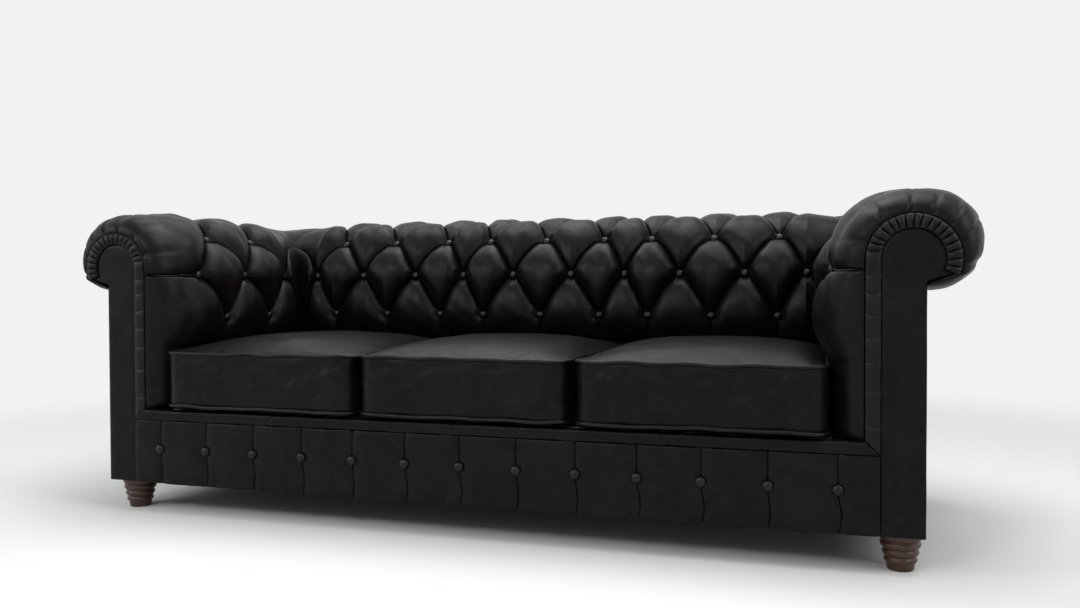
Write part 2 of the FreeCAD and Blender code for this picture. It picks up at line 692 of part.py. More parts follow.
def border_ring(x, depths):
    """Section of the front border: lower rim, swell, both edges of the buttons' flat, swell, upper rim."""
    low, high = num(BASE), rail_top
    seat_z = low + num("Sizes.border_button_height")
    face, rear = front - num("Sizes.border_proud"), front + num("Sizes.border_back")
    low_flat, high_flat = seat_z - button_flat, seat_z + button_flat
    heights = (low, (low + low_flat) / 2, low_flat, high_flat, (high + high_flat) / 2, high)
    rim, swollen, flat = depths
    points = list(zip((rim, swollen, flat, flat, swollen, rim), heights))
    return [Vector(x, face + depth, z) for depth, z in points] + [Vector(x, rear, high), Vector(x, rear, low)]


def front_border():
    """Padded leather border under the lip, with a fold above and below each button."""
    half = arm + scroll_d - num("Sizes.scroll_radius") - soft_gap
    pitch, fold, rim = num("Sizes.border_pitch"), num("Sizes.border_fold"), num("Sizes.border_edge")
    count = int(half / pitch)
    places = [pitch * step for step in range(-count, count + 1)]
    crest, side, crease = (rim, 0.0, 0.0), (rim, rim / 2, fold), (fold, fold, fold)
    rings = [border_ring(-half, (rim, rim, rim))]
    for last, x in zip([-half, *places], places):
        rings += [border_ring((last + x) / 2, crest), border_ring(x - button_flat, side), border_ring(x, crease),
                  border_ring(x + button_flat, side)]
    rings += [border_ring((places[-1] + half) / 2, crest), border_ring(half, (rim, rim, rim))]
    seat_y = front - num("Sizes.border_proud") + fold
    seat_z = num(BASE) + num("Sizes.border_button_height")
    buttons = [covered_button(Vector(x, seat_y, seat_z), Vector(0, -1, 0)) for x in places]
    return faceted(rings), Part.makeCompound(buttons)


def seat_lip():
    """Padded lip on the front rail, mitred to the ruched bands at both ends."""
    near, far = front - num("Sizes.lip_proud"), front + num(LIP_BACK)
    radius = num("Sizes.lip_round")
    curve = Part.Arc(Vector(0, near, deck - radius), Vector(0, near + radius * (1 - math.sqrt(0.5)),
                     deck - radius * (1 - math.sqrt(0.5))), Vector(0, near + radius, deck)).toShape()
    corners = [Vector(0, near + radius, deck), Vector(0, far, deck), Vector(0, far, rail_top),
               Vector(0, near, rail_top), Vector(0, near, deck - radius)]
    sides = [Part.LineSegment(start, end).toShape() for start, end in zip(corners, corners[1:])]
    section = Part.Face(Part.Wire([curve, *sides]))
    section.translate(Vector(-FAR / 2, 0, 0))
    low_x = arm + scroll_d - num("Sizes.scroll_radius") - soft_gap
    high_x = arm + scroll_d - band_r - soft_gap
    ends = prism([Vector(-low_x, -FAR, rail_top), Vector(low_x, -FAR, rail_top), Vector(high_x, -FAR, deck),
                  Vector(-high_x, -FAR, deck)], Vector(0, 2 * FAR, 0))
    lip = section.extrude(Vector(FAR, 0, 0)).common(ends)
    # Behind the facings the lip ends between the two facing boards
    behind = front + num("Sizes.facing_thickness") - soft_gap
    return lip.cut([Part.makeBox(FAR, FAR, FAR, Vector(high_x, behind, 0)),
                    Part.makeBox(FAR, FAR, FAR, Vector(-high_x - FAR, behind, 0))])


# Seat frame of hardwood

FRONT_RAIL_BACK = "%s + Sizes.border_back + Sizes.rail_thickness" % FRONT
node(board("front_seat_rail",
           ("-%s - %s" % (ARM, RIB_FACE), "%s + Sizes.border_back" % FRONT, FLOORING),
           ("%s + %s" % (ARM, RIB_FACE), FRONT_RAIL_BACK, RAIL_TOP)))
node(board("rear_seat_rail",
           ("-%s - %s" % (ARM, RIB_FACE), "%s + %s" % (BACK, RIB_FACE), FLOORING),
           ("%s + %s" % (ARM, RIB_FACE), "%s + %s" % (BACK, RAIL_BACK), RAIL_TOP)))
right_rail = node(board("right_seat_rail",
                        ("%s + %s" % (ARM, RIB_FACE), "%s + %s" % (FRONT, BOARD_BACK), FLOORING),
                        ("%s + %s" % (ARM, RAIL_BACK), "%s + %s" % (BACK, RIB_BACK), RAIL_TOP)))
mirrored("left_seat_rail", right_rail)
STRETCHER_TOP = "%s - Sizes.stretcher_drop" % RAIL_TOP
stretchers = []
for name, centre in (("left", "-Sizes.stretcher_place"), ("right", "Sizes.stretcher_place")):
    stretchers.append(board(name + "_stretcher",
                            ("%s - Sizes.rail_thickness / 2" % centre, FRONT_RAIL_BACK,
                             "%s - Sizes.stretcher_height" % STRETCHER_TOP),
                            ("%s + Sizes.rail_thickness / 2" % centre, "%s + %s" % (BACK, RIB_FACE), STRETCHER_TOP)))
node(group("seat_stretchers", stretchers))

# Plywood facing boards and ribs, all cut to the wall section

NOTCH_Z = "(%s - %s / 2)" % (SCROLL_Z, BAND_R)


def scroll_plate(label, radius, side, low, thickness):
    """Scroll shaped plate of the arm front: upright, three quarter round and back to the outside."""
    end_x = "(%s + sqrt(%s^2 - Sizes.scroll_end_drop^2))" % (SCROLL_D, radius)
    corners = [
        line_from(side, low),
        line_from(PANEL, low),
        line_from(PANEL, NOTCH_Z),
        arc_from(end_x, SCROLL_END, SCROLL_D, SCROLL_Z, 1),
        line_from("%s - %s" % (SCROLL_D, radius), SCROLL_Z, "y"),
    ]
    return plate(label, "XZ_Plane", corners, thickness, reverse=True)


def swept_corners(inset):
    """Corners of the wall section from the roll over the sweep to the shoulder, inset in depth."""
    share_d = "(%s - %s) / (%s - %s)" % (ROLL_D, SWEEP_R, SWEEP_R, ROLL_R)
    share_z = "(%s - %s) / (%s - %s)" % (ROLL_Z, SHOULDER, SWEEP_R, ROLL_R)
    radius = "(%s - %s)" % (ROLL_R, inset)
    foot = "(%s - sqrt(%s^2 - (%s - %s)^2))" % (ROLL_Z, radius, ROLL_D, RIB_BACK)
    return [
        arc_from(RIB_BACK, foot, ROLL_D, ROLL_Z, 1, "x"),
        arc_from("%s + %s * %s" % (ROLL_D, radius, share_d), "%s + %s * %s" % (ROLL_Z, radius, share_z),
                 SWEEP_R, SHOULDER, 1),
        line_from(inset, SHOULDER, "y"),
    ]


def rib(label, role, reverse):
    """Rib of an arm or the back, notched over the seat rail."""
    corners = [
        line_from(RAIL_BACK, FLOORING),
        line_from(RIB_BACK, FLOORING),
        *swept_corners(RIB_FACE),
        line_from(RIB_FACE, RAIL_TOP, "y"),
        line_from(RAIL_BACK, RAIL_TOP, "y"),
    ]
    return plate(label, role, corners, "Sizes.rib_thickness", reverse)


right_board = scroll_plate("right_facing_board", BAND_R, "%s" % BAND_D, FLOORING, "Sizes.facing_board_thickness")
node(moved(right_board, ARM, "%s + Sizes.facing_thickness" % FRONT))
mirrored("left_facing_board", right_board)
arm_ribs = []
for name, place in (("middle", "%s + Sizes.arm_rib_place" % FRONT), ("rear", "%s + Sizes.rear_rib_place" % BACK)):
    arm_ribs.append(moved(rib("right_%s_rib" % name, "XZ_Plane", True), ARM, place))
right_ribs = node(group("right_arm_ribs", arm_ribs))
mirrored("left_arm_ribs", right_ribs)
RIB_PLACES = [("back_rib_%d" % step, "%s * Sizes.back_rib_pitch - Sizes.rib_thickness / 2" % offset)
              for step, offset in enumerate(("-1.5", "-0.5", "0.5", "1.5"), start=1)]
node(group("back_ribs", [moved(rib(name, "YZ_Plane", False), place, BACK) for name, place in RIB_PLACES]))

# Battens between the ribs inside the rolls

BATTEN_TOP = "%s + Sizes.batten_drop" % ROLL_Z
BATTEN_LOW = "%s - Sizes.batten_height" % BATTEN_TOP
BATTEN_OUT = "%s - Sizes.scroll_inset / 2" % ROLL_D
BATTEN_IN = "%s - Sizes.batten_width" % BATTEN_OUT
arm_spans = (
    ("%s + %s" % (FRONT, BOARD_BACK), "%s + Sizes.arm_rib_place" % FRONT),
    ("%s + Sizes.arm_rib_place + Sizes.rib_thickness" % FRONT, "%s + Sizes.rear_rib_place" % BACK),
)
arm_battens = [board("right_batten_%d" % step,
                     ("%s + %s" % (ARM, BATTEN_IN), low, BATTEN_LOW), ("%s + %s" % (ARM, BATTEN_OUT), high, BATTEN_TOP))
               for step, (low, high) in enumerate(arm_spans, start=1)]
right_battens = node(group("right_arm_battens", arm_battens))
mirrored("left_arm_battens", right_battens)
back_battens = []
for step, ((_, low), (_, high)) in enumerate(zip(RIB_PLACES, RIB_PLACES[1:]), start=1):
    back_battens.append(board("back_batten_%d" % step,
                              ("%s + Sizes.rib_thickness" % low, "%s + %s" % (BACK, BATTEN_IN), BATTEN_LOW),
                              (high, "%s + %s" % (BACK, BATTEN_OUT), BATTEN_TOP)))
node(group("back_battens", back_battens))

# Elastic webbing, pad and cloth of the seat deck

straps = []
for step in range(-4, 5):
    centre = "%d * Sizes.strap_pitch" % step
    straps.append(board("seat_strap_%d" % (step + 5),
                        ("%s - Sizes.strap_width / 2" % centre, "%s + %s + Sizes.soft_gap" % (FRONT, LIP_BACK), RAIL_TOP),
                        ("%s + Sizes.strap_width / 2" % centre, "%s + %s" % (BACK, RAIL_BACK),
                         "%s + Sizes.strap_thickness" % RAIL_TOP)))
node(group("seat_webbing", straps))
cross_straps = []
for step in range(1, 4):
    centre = "%s + %d * Sizes.cross_strap_pitch" % (FRONT, step)
    cross_straps.append(board("cross_strap_%d" % step,
                              ("-%s - %s" % (ARM, RAIL_BACK), "%s - Sizes.strap_width / 2" % centre,
                               "%s - Sizes.strap_thickness" % STRAP_TOP),
                              ("%s + %s" % (ARM, RAIL_BACK), "%s + Sizes.strap_width / 2" % centre, STRAP_TOP)))
node(group("cross_webbing", cross_straps))
DECK_LOW = "%s - Sizes.deck_cloth_thickness" % DECK
for label, low, high in (("seat_deck_pad", "%s + Sizes.soft_gap" % STRAP_TOP, DECK_LOW), ("seat_deck_cloth", DECK_LOW, DECK)):
    node(board(label,
               ("-%s + Sizes.soft_gap" % ARM, "%s + %s + Sizes.soft_gap" % (FRONT, LIP_BACK), low),
               ("%s - Sizes.soft_gap" % ARM, "%s - Sizes.soft_gap" % BACK, high)))

# Outside panels, facings, bands, lip and border

PANEL_TOP = "%s - Sizes.panel_tuck" % ROLL_Z
node(board("outside_back_panel",
           ("-%s - %s" % (ARM, PANEL), "%s + %s" % (BACK, RIB_BACK), BASE),
           ("%s + %s" % (ARM, PANEL), "%s + %s" % (BACK, PANEL), PANEL_TOP)))
right_panel = node(board("right_outside_panel",
                         ("%s + %s" % (ARM, RIB_BACK), "%s + %s" % (FRONT, BOARD_BACK), BASE),
                         ("%s + %s" % (ARM, PANEL), "%s + %s" % (BACK, RIB_BACK), PANEL_TOP)))
mirrored("left_outside_panel", right_panel)
right_facing = scroll_plate("right_arm_facing", "Sizes.scroll_radius", FACING_D, BASE, "Sizes.facing_thickness")
node(moved(right_facing, ARM, FRONT))
mirrored("left_arm_facing", right_facing)


def ruched_band():
    """Pleated leather band that runs up the facing and round its scroll, mitred to the lip below."""
    end_in = "(%s + sqrt(Sizes.scroll_radius^2 - Sizes.scroll_end_drop^2))" % SCROLL_D
    end_out = "(%s + sqrt(%s^2 - Sizes.scroll_end_drop^2))" % (SCROLL_D, BAND_R)
    corners = [
        line_from(BAND_D, DECK),
        line_from(FACING_D, RAIL_TOP),
        arc_from(FACING_D, SCROLL_Z, SCROLL_D, SCROLL_Z, -1, "y"),
        line_from(end_in, SCROLL_END),
        arc_from(end_out, SCROLL_END, SCROLL_D, SCROLL_Z, 1),
        line_from(BAND_D, SCROLL_Z, "y"),
    ]
    return plate("right_ruched_band", "XZ_Plane", corners, "Sizes.facing_thickness + Sizes.band_proud", reverse=True)


right_band = node(moved(ruched_band(), ARM, "%s - Sizes.band_proud" % FRONT))
mirrored("left_ruched_band", right_band)
formed("seat_lip", seat_lip())
border, buttons = front_border()
formed("front_border", border)
formed("front_border_buttons", buttons)

# Buttoned walls

MIRROR_PLANE = (Vector(0, 0, 0), Vector(1, 0, 0))
for part, shape in zip(("cover", "buttons", "foam", "hessian", "liner"), right_arm()):
    formed("right_arm_" + part, shape)
    formed("left_arm_" + part, shape.mirror(*MIRROR_PLANE))
for part, shape in zip(("cover", "buttons", "foam", "hessian", "liner"), back_wall()):
    formed("back_" + part, shape)

seat_cushions()

# Turned feet, their blocks, hanger bolts and tee nuts, and the cloth under the frame


BORE = "Sizes.bolt_radius + Sizes.bolt_play"
FOOT_BEADS = ((0.35, 0.18, 0.46), (0.65, 0.54, 0.78))


def foot_outline():
    """Half outline of a turned foot: two beads that grow towards a plain collar, and the bolt's bore."""
    bottom, top = "Sizes.foot_bottom_radius", "Sizes.foot_top_radius"
    bore = "(%s)" % BORE
    bore_low = "(Sizes.foot_height - Sizes.bolt_in_foot)"
    corners = [line_from("0", "0"), line_from(bottom, "0")]
    for share, low, high in FOOT_BEADS:
        radius = "(%s + %g * (%s - %s))" % (bottom, share, top, bottom)
        corners += [line_from(radius, "%g * Sizes.foot_height" % low),
                    line_from(radius + " + Sizes.foot_bead", "%g * Sizes.foot_height" % ((low + high) / 2)),
                    line_from(radius, "%g * Sizes.foot_height" % high)]
    corners += [line_from(top, "0.88 * Sizes.foot_height"), line_from(top, "Sizes.foot_height"),
                line_from(bore, "Sizes.foot_height"), line_from(bore, bore_low), line_from("0", bore_low)]
    return corners


def turned_foot(label, x, y):
    """Hardwood foot turned about its own upright axis."""
    body = doc.addObject("PartDesign::Body", label)
    sketch = outline(body, "XZ_Plane", foot_outline(), label + "_outline")
    turning = body.newObject("PartDesign::Revolution", label + "_turning")
    turning.Profile = sketch
    turning.ReferenceAxis = (sketch, ["V_Axis"])
    turning.Angle = 360
    return moved(body, x, y)


FOOT_X = "(%s + %s)" % (ARM, FOOT_D)
FOOT_FRONT = "(%s + Sizes.foot_inset_front)" % FRONT
FOOT_REAR = "(%s + %s - Sizes.foot_inset_front)" % (BACK, PANEL)
CORNERS = (("left_front", "-" + FOOT_X, FOOT_FRONT), ("right_front", FOOT_X, FOOT_FRONT),
           ("left_rear", "-" + FOOT_X, FOOT_REAR), ("right_rear", FOOT_X, FOOT_REAR))
node(group("turned_feet", [turned_foot(name + "_foot", x, y) for name, x, y in CORNERS]))

NUT_TOP = "%s + Sizes.nut_thickness" % BLOCK_TOP
BOLT_LOW = "(Sizes.foot_height - Sizes.bolt_in_foot)"
blocks, bolts, nuts, holes = [], [], [], []
for name, x, y in CORNERS:
    low_x = "-%s - %s" % (ARM, RIB_BACK) if name.startswith("left") else "%s + %s" % (ARM, RAIL_BACK)
    high_x = "-%s - %s" % (ARM, RAIL_BACK) if name.startswith("left") else "%s + %s" % (ARM, RIB_BACK)
    if "front" in name:
        low_y = "%s + %s" % (FRONT, BOARD_BACK)
        high_y = low_y + " + Sizes.block_length"
    else:
        high_y = "%s + %s" % (BACK, RIB_BACK)
        low_y = high_y + " - Sizes.block_length"
    block = board(name + "_block", (low_x, low_y, FLOORING), (high_x, high_y, BLOCK_TOP))
    bore = rod(name + "_block_bore", BORE, "Sizes.block_height", x, y, FLOORING)
    blocks.append(cut(name + "_bored_block", block, bore))
    bolts.append(rod(name + "_bolt", "Sizes.bolt_radius", "%s - %s" % (NUT_TOP, BOLT_LOW), x, y, BOLT_LOW))
    nut = board(name + "_nut_blank", ("%s - Sizes.nut_width / 2" % x, "%s - Sizes.nut_width / 2" % y, BLOCK_TOP),
                ("%s + Sizes.nut_width / 2" % x, "%s + Sizes.nut_width / 2" % y, NUT_TOP))
    thread = rod(name + "_thread", BORE, "Sizes.nut_thickness", x, y, BLOCK_TOP)
    nuts.append(cut(name + "_nut", nut, thread))
    holes.append(rod(name + "_cloth_hole", BORE, "Sizes.dust_cover_thickness", x, y, BASE))
node(group("foot_blocks", blocks))
node(group("hanger_bolts", bolts))
node(group("tee_nuts", nuts))
cloth = board("dust_cloth",
              ("-%s - %s" % (ARM, RIB_BACK), "%s + Sizes.facing_thickness + Sizes.soft_gap" % FRONT, BASE),
              ("%s + %s" % (ARM, RIB_BACK), "%s + %s" % (BACK, RIB_BACK), FLOORING))
node(cut("dust_cover", cloth, group("cloth_holes", holes)))

doc.recompute()
for item in doc.Objects:
    if "Invalid" in item.State or "Error" in item.State:
        raise RuntimeError("%s failed to build: %s" % (item.Label, item.State))
for item in nodes:
    if item.Shape.isNull() or not item.Shape.isValid():
        raise RuntimeError("%s has no valid shape" % item.Label)
os.makedirs("parts", exist_ok=True)
for item in nodes:
    item.Shape.exportStep("parts/%s.step" % item.Label)
print("%d sub-parts written" % len(nodes))
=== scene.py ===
import json
import logging
import math
from dataclasses import dataclass
from enum import Enum

import bmesh
import bpy
import numpy as np
from mathutils import Matrix, Vector


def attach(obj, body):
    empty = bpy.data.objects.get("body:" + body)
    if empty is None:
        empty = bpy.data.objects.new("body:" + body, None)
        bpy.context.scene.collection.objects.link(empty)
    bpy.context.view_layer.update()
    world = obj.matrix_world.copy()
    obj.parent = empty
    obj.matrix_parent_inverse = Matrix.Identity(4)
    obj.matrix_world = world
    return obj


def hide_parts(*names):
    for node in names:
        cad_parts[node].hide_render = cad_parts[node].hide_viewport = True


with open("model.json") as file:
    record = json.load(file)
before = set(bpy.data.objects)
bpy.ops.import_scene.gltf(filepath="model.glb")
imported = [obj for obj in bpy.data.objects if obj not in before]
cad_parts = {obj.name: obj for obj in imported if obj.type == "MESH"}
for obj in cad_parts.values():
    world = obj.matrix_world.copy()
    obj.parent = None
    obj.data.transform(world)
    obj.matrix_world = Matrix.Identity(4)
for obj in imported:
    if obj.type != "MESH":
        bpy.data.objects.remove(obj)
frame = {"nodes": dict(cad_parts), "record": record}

# Looks of a leather chesterfield sofa round its packed construction. Sizes inside the classes are in
# millimetres, in the row frame, and turn to metres where a mesh is made. Arms and back share one wall
# section: depth d grows outwards, away from the seat, and z is the height.

log = logging.getLogger("chesterfield")
MM = 0.001
PER_METRE = 1000.0
FRAME_BODY = "sofa_frame"


def linear(code: str) -> tuple[float, float, float, float]:
    """Turns an sRGB hex colour to linear light.

    Args:
        code: six hex digits, with or without a leading mark.

    Returns:
        Red, green, blue and an alpha of one.
    """
    values = [int(code.lstrip("#")[at:at + 2], 16) / 255 for at in (0, 2, 4)]
    return (*[v / 12.92 if v <= 0.04045 else ((v + 0.055) / 1.055) ** 2.4 for v in values], 1.0)


def add(tree: bpy.types.NodeTree, kind: str, inputs: dict | None = None, stops: tuple = (),
        **settings) -> bpy.types.Node:
    """Adds a shader node with its settings, values and links.

    Args:
        tree: node tree of a material or of the world.
        kind: Blender's name of the node.
        inputs: socket name or number to a value or to the output socket that feeds it.
        stops: place and colour of both stops, where the node is a colour ramp.
        settings: properties of the node.

    Returns:
        The new node.
    """
    node = tree.nodes.new(kind)
    for name, value in settings.items():
        setattr(node, name, value)
    for socket, value in (inputs or {}).items():
        if isinstance(value, bpy.types.NodeSocket):
            tree.links.new(value, node.inputs[socket])
        else:
            node.inputs[socket].default_value = value
    for index, (place, colour) in enumerate(stops):
        node.color_ramp.elements[index].position = place
        node.color_ramp.elements[index].color = colour
    return node


def blank(name: str) -> tuple[bpy.types.Material, bpy.types.NodeTree, bpy.types.NodeSocket]:
    """Starts a material.

    Args:
        name: what the finish is.

    Returns:
        The material, its empty node tree and object coordinates in metres.
    """
    material = bpy.data.materials.new(name)
    material.use_nodes = True
    tree = material.node_tree
    tree.nodes.clear()
    return material, tree, add(tree, "ShaderNodeTexCoord").outputs["Object"]


@dataclass(frozen=True)
class Leather:
    """Pigmented cowhide, drum dyed and polished: a thin film that shines softly where it is stretched."""

    name: str = "pigmented cowhide"
    deep: str = "#060606"
    worn: str = "#141211"
    rough_low: float = 0.27
    rough_high: float = 0.42
    level: float = 0.13
    grain_mm: float = 2.6
    mottle_mm: float = 70.0
    rub_mm: float = 70.0 / 4.2
    crease_mm: float = 16.0

    def make(self) -> bpy.types.Material:
        """Builds the material: mottled dye, rubbed patches, pebble grain and fine creases.

        Returns:
            The material.
        """
        material, tree, place = blank(self.name)
        mottle, rubbed = (add(tree, "ShaderNodeTexNoise", {
            "Vector": place, "Scale": PER_METRE / size, "Detail": detail, "Roughness": rough,
        }).outputs["Fac"] for size, detail, rough in ((self.mottle_mm, 6.0, 0.62), (self.rub_mm, 5.0, 0.7)))
        both = add(tree, "ShaderNodeMath", {0: mottle, 1: rubbed}, operation="MULTIPLY").outputs[0]
        colour = add(tree, "ShaderNodeValToRGB", {"Fac": both},
                     ((0.17, linear(self.deep)), (0.36, linear(self.worn))))
        rough = add(tree, "ShaderNodeMapRange", {
            "Value": both, "From Min": 0.15, "From Max": 0.4,
            "To Min": self.rough_high, "To Max": self.rough_low})
        # The pebbles of real grain are under a millimetre; they are drawn coarser so that they show
        pebbles = add(tree, "ShaderNodeTexVoronoi", {"Vector": place, "Scale": PER_METRE / self.grain_mm},
                      feature="SMOOTH_F1")
        creases = add(tree, "ShaderNodeTexNoise", {
            "Vector": place, "Scale": PER_METRE / self.crease_mm, "Detail": 8.0,
            "Roughness": 0.72, "Distortion": 0.6})
        soft = add(tree, "ShaderNodeBump", {
            "Height": creases.outputs["Fac"], "Strength": 0.35, "Distance": 0.0022})
        fine = add(tree, "ShaderNodeBump", {
            "Height": pebbles.outputs["Distance"], "Strength": 0.25, "Distance": 0.0005,
            "Normal": soft.outputs["Normal"]})
        shader = add(tree, "ShaderNodeBsdfPrincipled", {
            "Base Color": colour.outputs["Color"], "Roughness": rough.outputs["Result"], "IOR": 1.46,
            "Specular IOR Level": self.level, "Normal": fine.outputs["Normal"]})
        add(tree, "ShaderNodeOutputMaterial", {"Surface": shader.outputs["BSDF"]})
        return material


@dataclass(frozen=True)
class Timber:
    """Sawn or turned wood: long fibres along one axis, with or without stain and lacquer."""

    name: str
    dark: str
    light: str
    rough: float
    fibre: tuple[float, float, float] = (1.0, 1.0, 0.09)
    ring_mm: float = 5.0

    def make(self) -> bpy.types.Material:
        """Builds the material: stretched fibres, darker pores and a slight relief.

        Returns:
            The material.
        """
        material, tree, place = blank(self.name)
        turned = add(tree, "ShaderNodeMapping", {"Vector": place, "Scale": self.fibre})
        fibres = add(tree, "ShaderNodeTexNoise", {
            "Vector": turned.outputs["Vector"], "Scale": PER_METRE / self.ring_mm, "Detail": 7.0,
            "Roughness": 0.65, "Distortion": 0.4})
        colour = add(tree, "ShaderNodeValToRGB", {"Fac": fibres.outputs["Fac"]},
                     ((0.34, linear(self.dark)), (0.66, linear(self.light))))
        relief = add(tree, "ShaderNodeBump", {
            "Height": fibres.outputs["Fac"], "Strength": 0.3, "Distance": 0.0006})
        shader = add(tree, "ShaderNodeBsdfPrincipled", {
            "Base Color": colour.outputs["Color"], "Roughness": self.rough, "IOR": 1.5,
            "Normal": relief.outputs["Normal"]})
        add(tree, "ShaderNodeOutputMaterial", {"Surface": shader.outputs["BSDF"]})
        return material


@dataclass(frozen=True)
class Textile:
    """Cloth, strap or open foam: threads or cells of a real size, matt."""

    name: str
    dark: str
    light: str
    thread_mm: float
    cells: bool = False
    band_mm: float = 160.0

    def make(self) -> bpy.types.Material:
        """Builds the material: crossing threads, or round cells for foam.

        Returns:
            The material.
        """
        material, tree, place = blank(self.name)
        if self.cells:
            cells = add(tree, "ShaderNodeTexVoronoi", {"Vector": place, "Scale": PER_METRE / self.thread_mm})
            pattern = cells.outputs["Distance"]
        else:
            # Bands of scale 1 repeat every 314 mm, so threads are drawn about twice as coarse as real ones
            bands = [add(tree, "ShaderNodeTexWave", {
                "Vector": place, "Scale": self.band_mm / self.thread_mm, "Distortion": 1.5,
            }, bands_direction=axis).outputs["Fac"] for axis in ("X", "Z")]
            pattern = add(tree, "ShaderNodeMath", {0: bands[0], 1: bands[1]}, operation="MAXIMUM").outputs[0]
        colour = add(tree, "ShaderNodeValToRGB", {"Fac": pattern},
                     ((0.2, linear(self.dark)), (0.8, linear(self.light))))
        relief = add(tree, "ShaderNodeBump", {"Height": pattern, "Strength": 0.4, "Distance": 0.0005})
        shader = add(tree, "ShaderNodeBsdfPrincipled", {
            "Base Color": colour.outputs["Color"], "Roughness": 0.92, "Normal": relief.outputs["Normal"]})
        add(tree, "ShaderNodeOutputMaterial", {"Surface": shader.outputs["BSDF"]})
        return material


@dataclass(frozen=True)
class PlatedSteel:
    """Zinc plated steel, drawn and dipped: dull metal with fine drawing lines."""

    name: str = "zinc plated steel"
    tint: str = "#b4b6b8"

    def make(self) -> bpy.types.Material:
        """Builds the material with fine noise in its roughness.

        Returns:
            The material.
        """
        material, tree, place = blank(self.name)
        lines = add(tree, "ShaderNodeTexNoise", {"Vector": place, "Scale": 900.0, "Detail": 3.0})
        rough = add(tree, "ShaderNodeMapRange", {"Value": lines.outputs["Fac"], "To Min": 0.3, "To Max": 0.5})
        shader = add(tree, "ShaderNodeBsdfPrincipled", {
            "Base Color": linear(self.tint), "Metallic": 1.0, "Roughness": rough.outputs["Result"]})
        add(tree, "ShaderNodeOutputMaterial", {"Surface": shader.outputs["BSDF"]})
        return material


class Slot(Enum):
    """Material slots of the record, each with its finish."""

    body_leather = Leather()
    trim_leather = Leather("gathered cowhide", rough_low=0.29, rough_high=0.4, level=0.2, crease_mm=9.0)
    button_leather = Leather("cowhide over button moulds", rough_low=0.25, rough_high=0.34, level=0.28,
                             crease_mm=30.0)
    foot_wood = Timber("turned beech under dark stain", "#1f0f09", "#4b2b1c", 0.34, ring_mm=3.5)
    frame_hardwood = Timber("planed beech", "#9a7248", "#c39a68", 0.7, fibre=(0.08, 1.0, 1.0))
    plywood = Timber("birch plywood", "#b08a5a", "#d1b07c", 0.75, fibre=(0.3, 0.3, 1.0), ring_mm=2.0)
    upholstery_foam = Textile("cut polyether foam", "#c9bd95", "#e6ddbd", 1.6, cells=True)
    hessian = Textile("jute hessian", "#5e4526", "#97764a", 1.8)
    elastic_webbing = Textile("elastic webbing", "#171412", "#332c26", 1.4)
    black_cloth = Textile("black non-woven lining", "#070707", "#191919", 1.0)
    hardware_steel = PlatedSteel()


class Finishes:
    """Makes each finish once and gives it to pieces and nodes."""

    def __init__(self) -> None:
        """Starts with no material made."""
        self.made: dict[Slot, bpy.types.Material] = {}

    def get(self, which: Slot) -> bpy.types.Material:
        """Material of a slot, made when it is first asked for.

        Args:
            which: slot of the record.

        Returns:
            The material.
        """
        if which not in self.made:
            self.made[which] = which.value.make()
        return self.made[which]

    def dress(self, piece: bpy.types.Object, which: Slot, body: str, *nodes: str, fill: float = 0.0) -> None:
        """Gives a piece its finish, the body that it rides on and the nodes that it stands for.

        Args:
            piece: mesh object.
            which: slot of the record.
            body: name of the body.
            nodes: nodes of the construction that the piece replaces.
            fill: share of a padded piece that is filled, or 0 where it isn't padded; not used.
        """
        piece.data.materials.clear()
        piece.data.materials.append(self.get(which))
        if nodes:
            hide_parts(*nodes)
        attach(piece, body)


# Helpers that turn numpy arrays to meshes

def side_word(side: int) -> str:
    """Side in words: 1 is right and -1 is left."""
    return "right" if side > 0 else "left"


def spaced(count: int) -> np.ndarray:
    """Places from 0 to 1, closer at both ends: half of one less the cosine of pi times the step."""
    return (1 - np.cos(np.linspace(0, math.pi, count + 1))) / 2


def between(edges: np.ndarray, count: int) -> np.ndarray:
    """Places from each edge to the next, closer together at the edges, in rising order."""
    parts = [low + (high - low) * spaced(count) for low, high in zip(edges, edges[1:])]
    return np.unique(np.concatenate(parts))


def ease(value: np.ndarray, low: float, high: float) -> np.ndarray:
    """Smooth step from 0 at low to 1 at high: three t squared less two t cubed."""
    t = np.clip((value - low) / (high - low), 0, 1)
    return t * t * (3 - 2 * t)


def ripple(x: np.ndarray, y: np.ndarray, size: float, seed: int, waves: int = 14) -> np.ndarray:
    """Smooth unevenness: a sum of seeded plane waves whose lengths lie round a size.

    Args:
        x: first coordinate in millimetres.
        y: second coordinate in millimetres.
        size: mean wave length in millimetres.
        seed: start of the random numbers.
        waves: how many waves are added.

    Returns:
        Values of about -1 to 1.
    """
    chance = np.random.default_rng(seed)
    total = np.zeros(np.broadcast(x, y).shape)
    turns, phases = (chance.uniform(0, 2 * math.pi, waves) for _ in range(2))
    for turn, phase, stretch in zip(turns, phases, chance.uniform(0.6, 1.7, waves)):
        pace = 2 * math.pi / (size * stretch)
        total += np.sin(pace * (x * math.cos(turn) + y * math.sin(turn)) + phase)
    return total / math.sqrt(waves)


def normals_of(points: np.ndarray, wrap: bool = False) -> np.ndarray:
    """Unit normals of a grid of points: the cross product of its two gradients.

    Args:
        points: array of rows, columns and xyz.
        wrap: the columns close on themselves.

    Returns:
        Array of the same shape.
    """
    grid = np.concatenate([points[:, -1:], points, points[:, :1]], axis=1) if wrap else points
    across = np.cross(np.gradient(grid, axis=0), np.gradient(grid, axis=1))
    across = across[:, 1:-1] if wrap else across
    return across / np.maximum(np.linalg.norm(across, axis=2, keepdims=True), 1e-9)


def lifted(points: np.ndarray, amount: np.ndarray, outward: float) -> np.ndarray:
    """Moves each point along its normal: point plus normal times amount times the side that is outward."""
    return points + normals_of(points) * (amount * outward)[..., None]


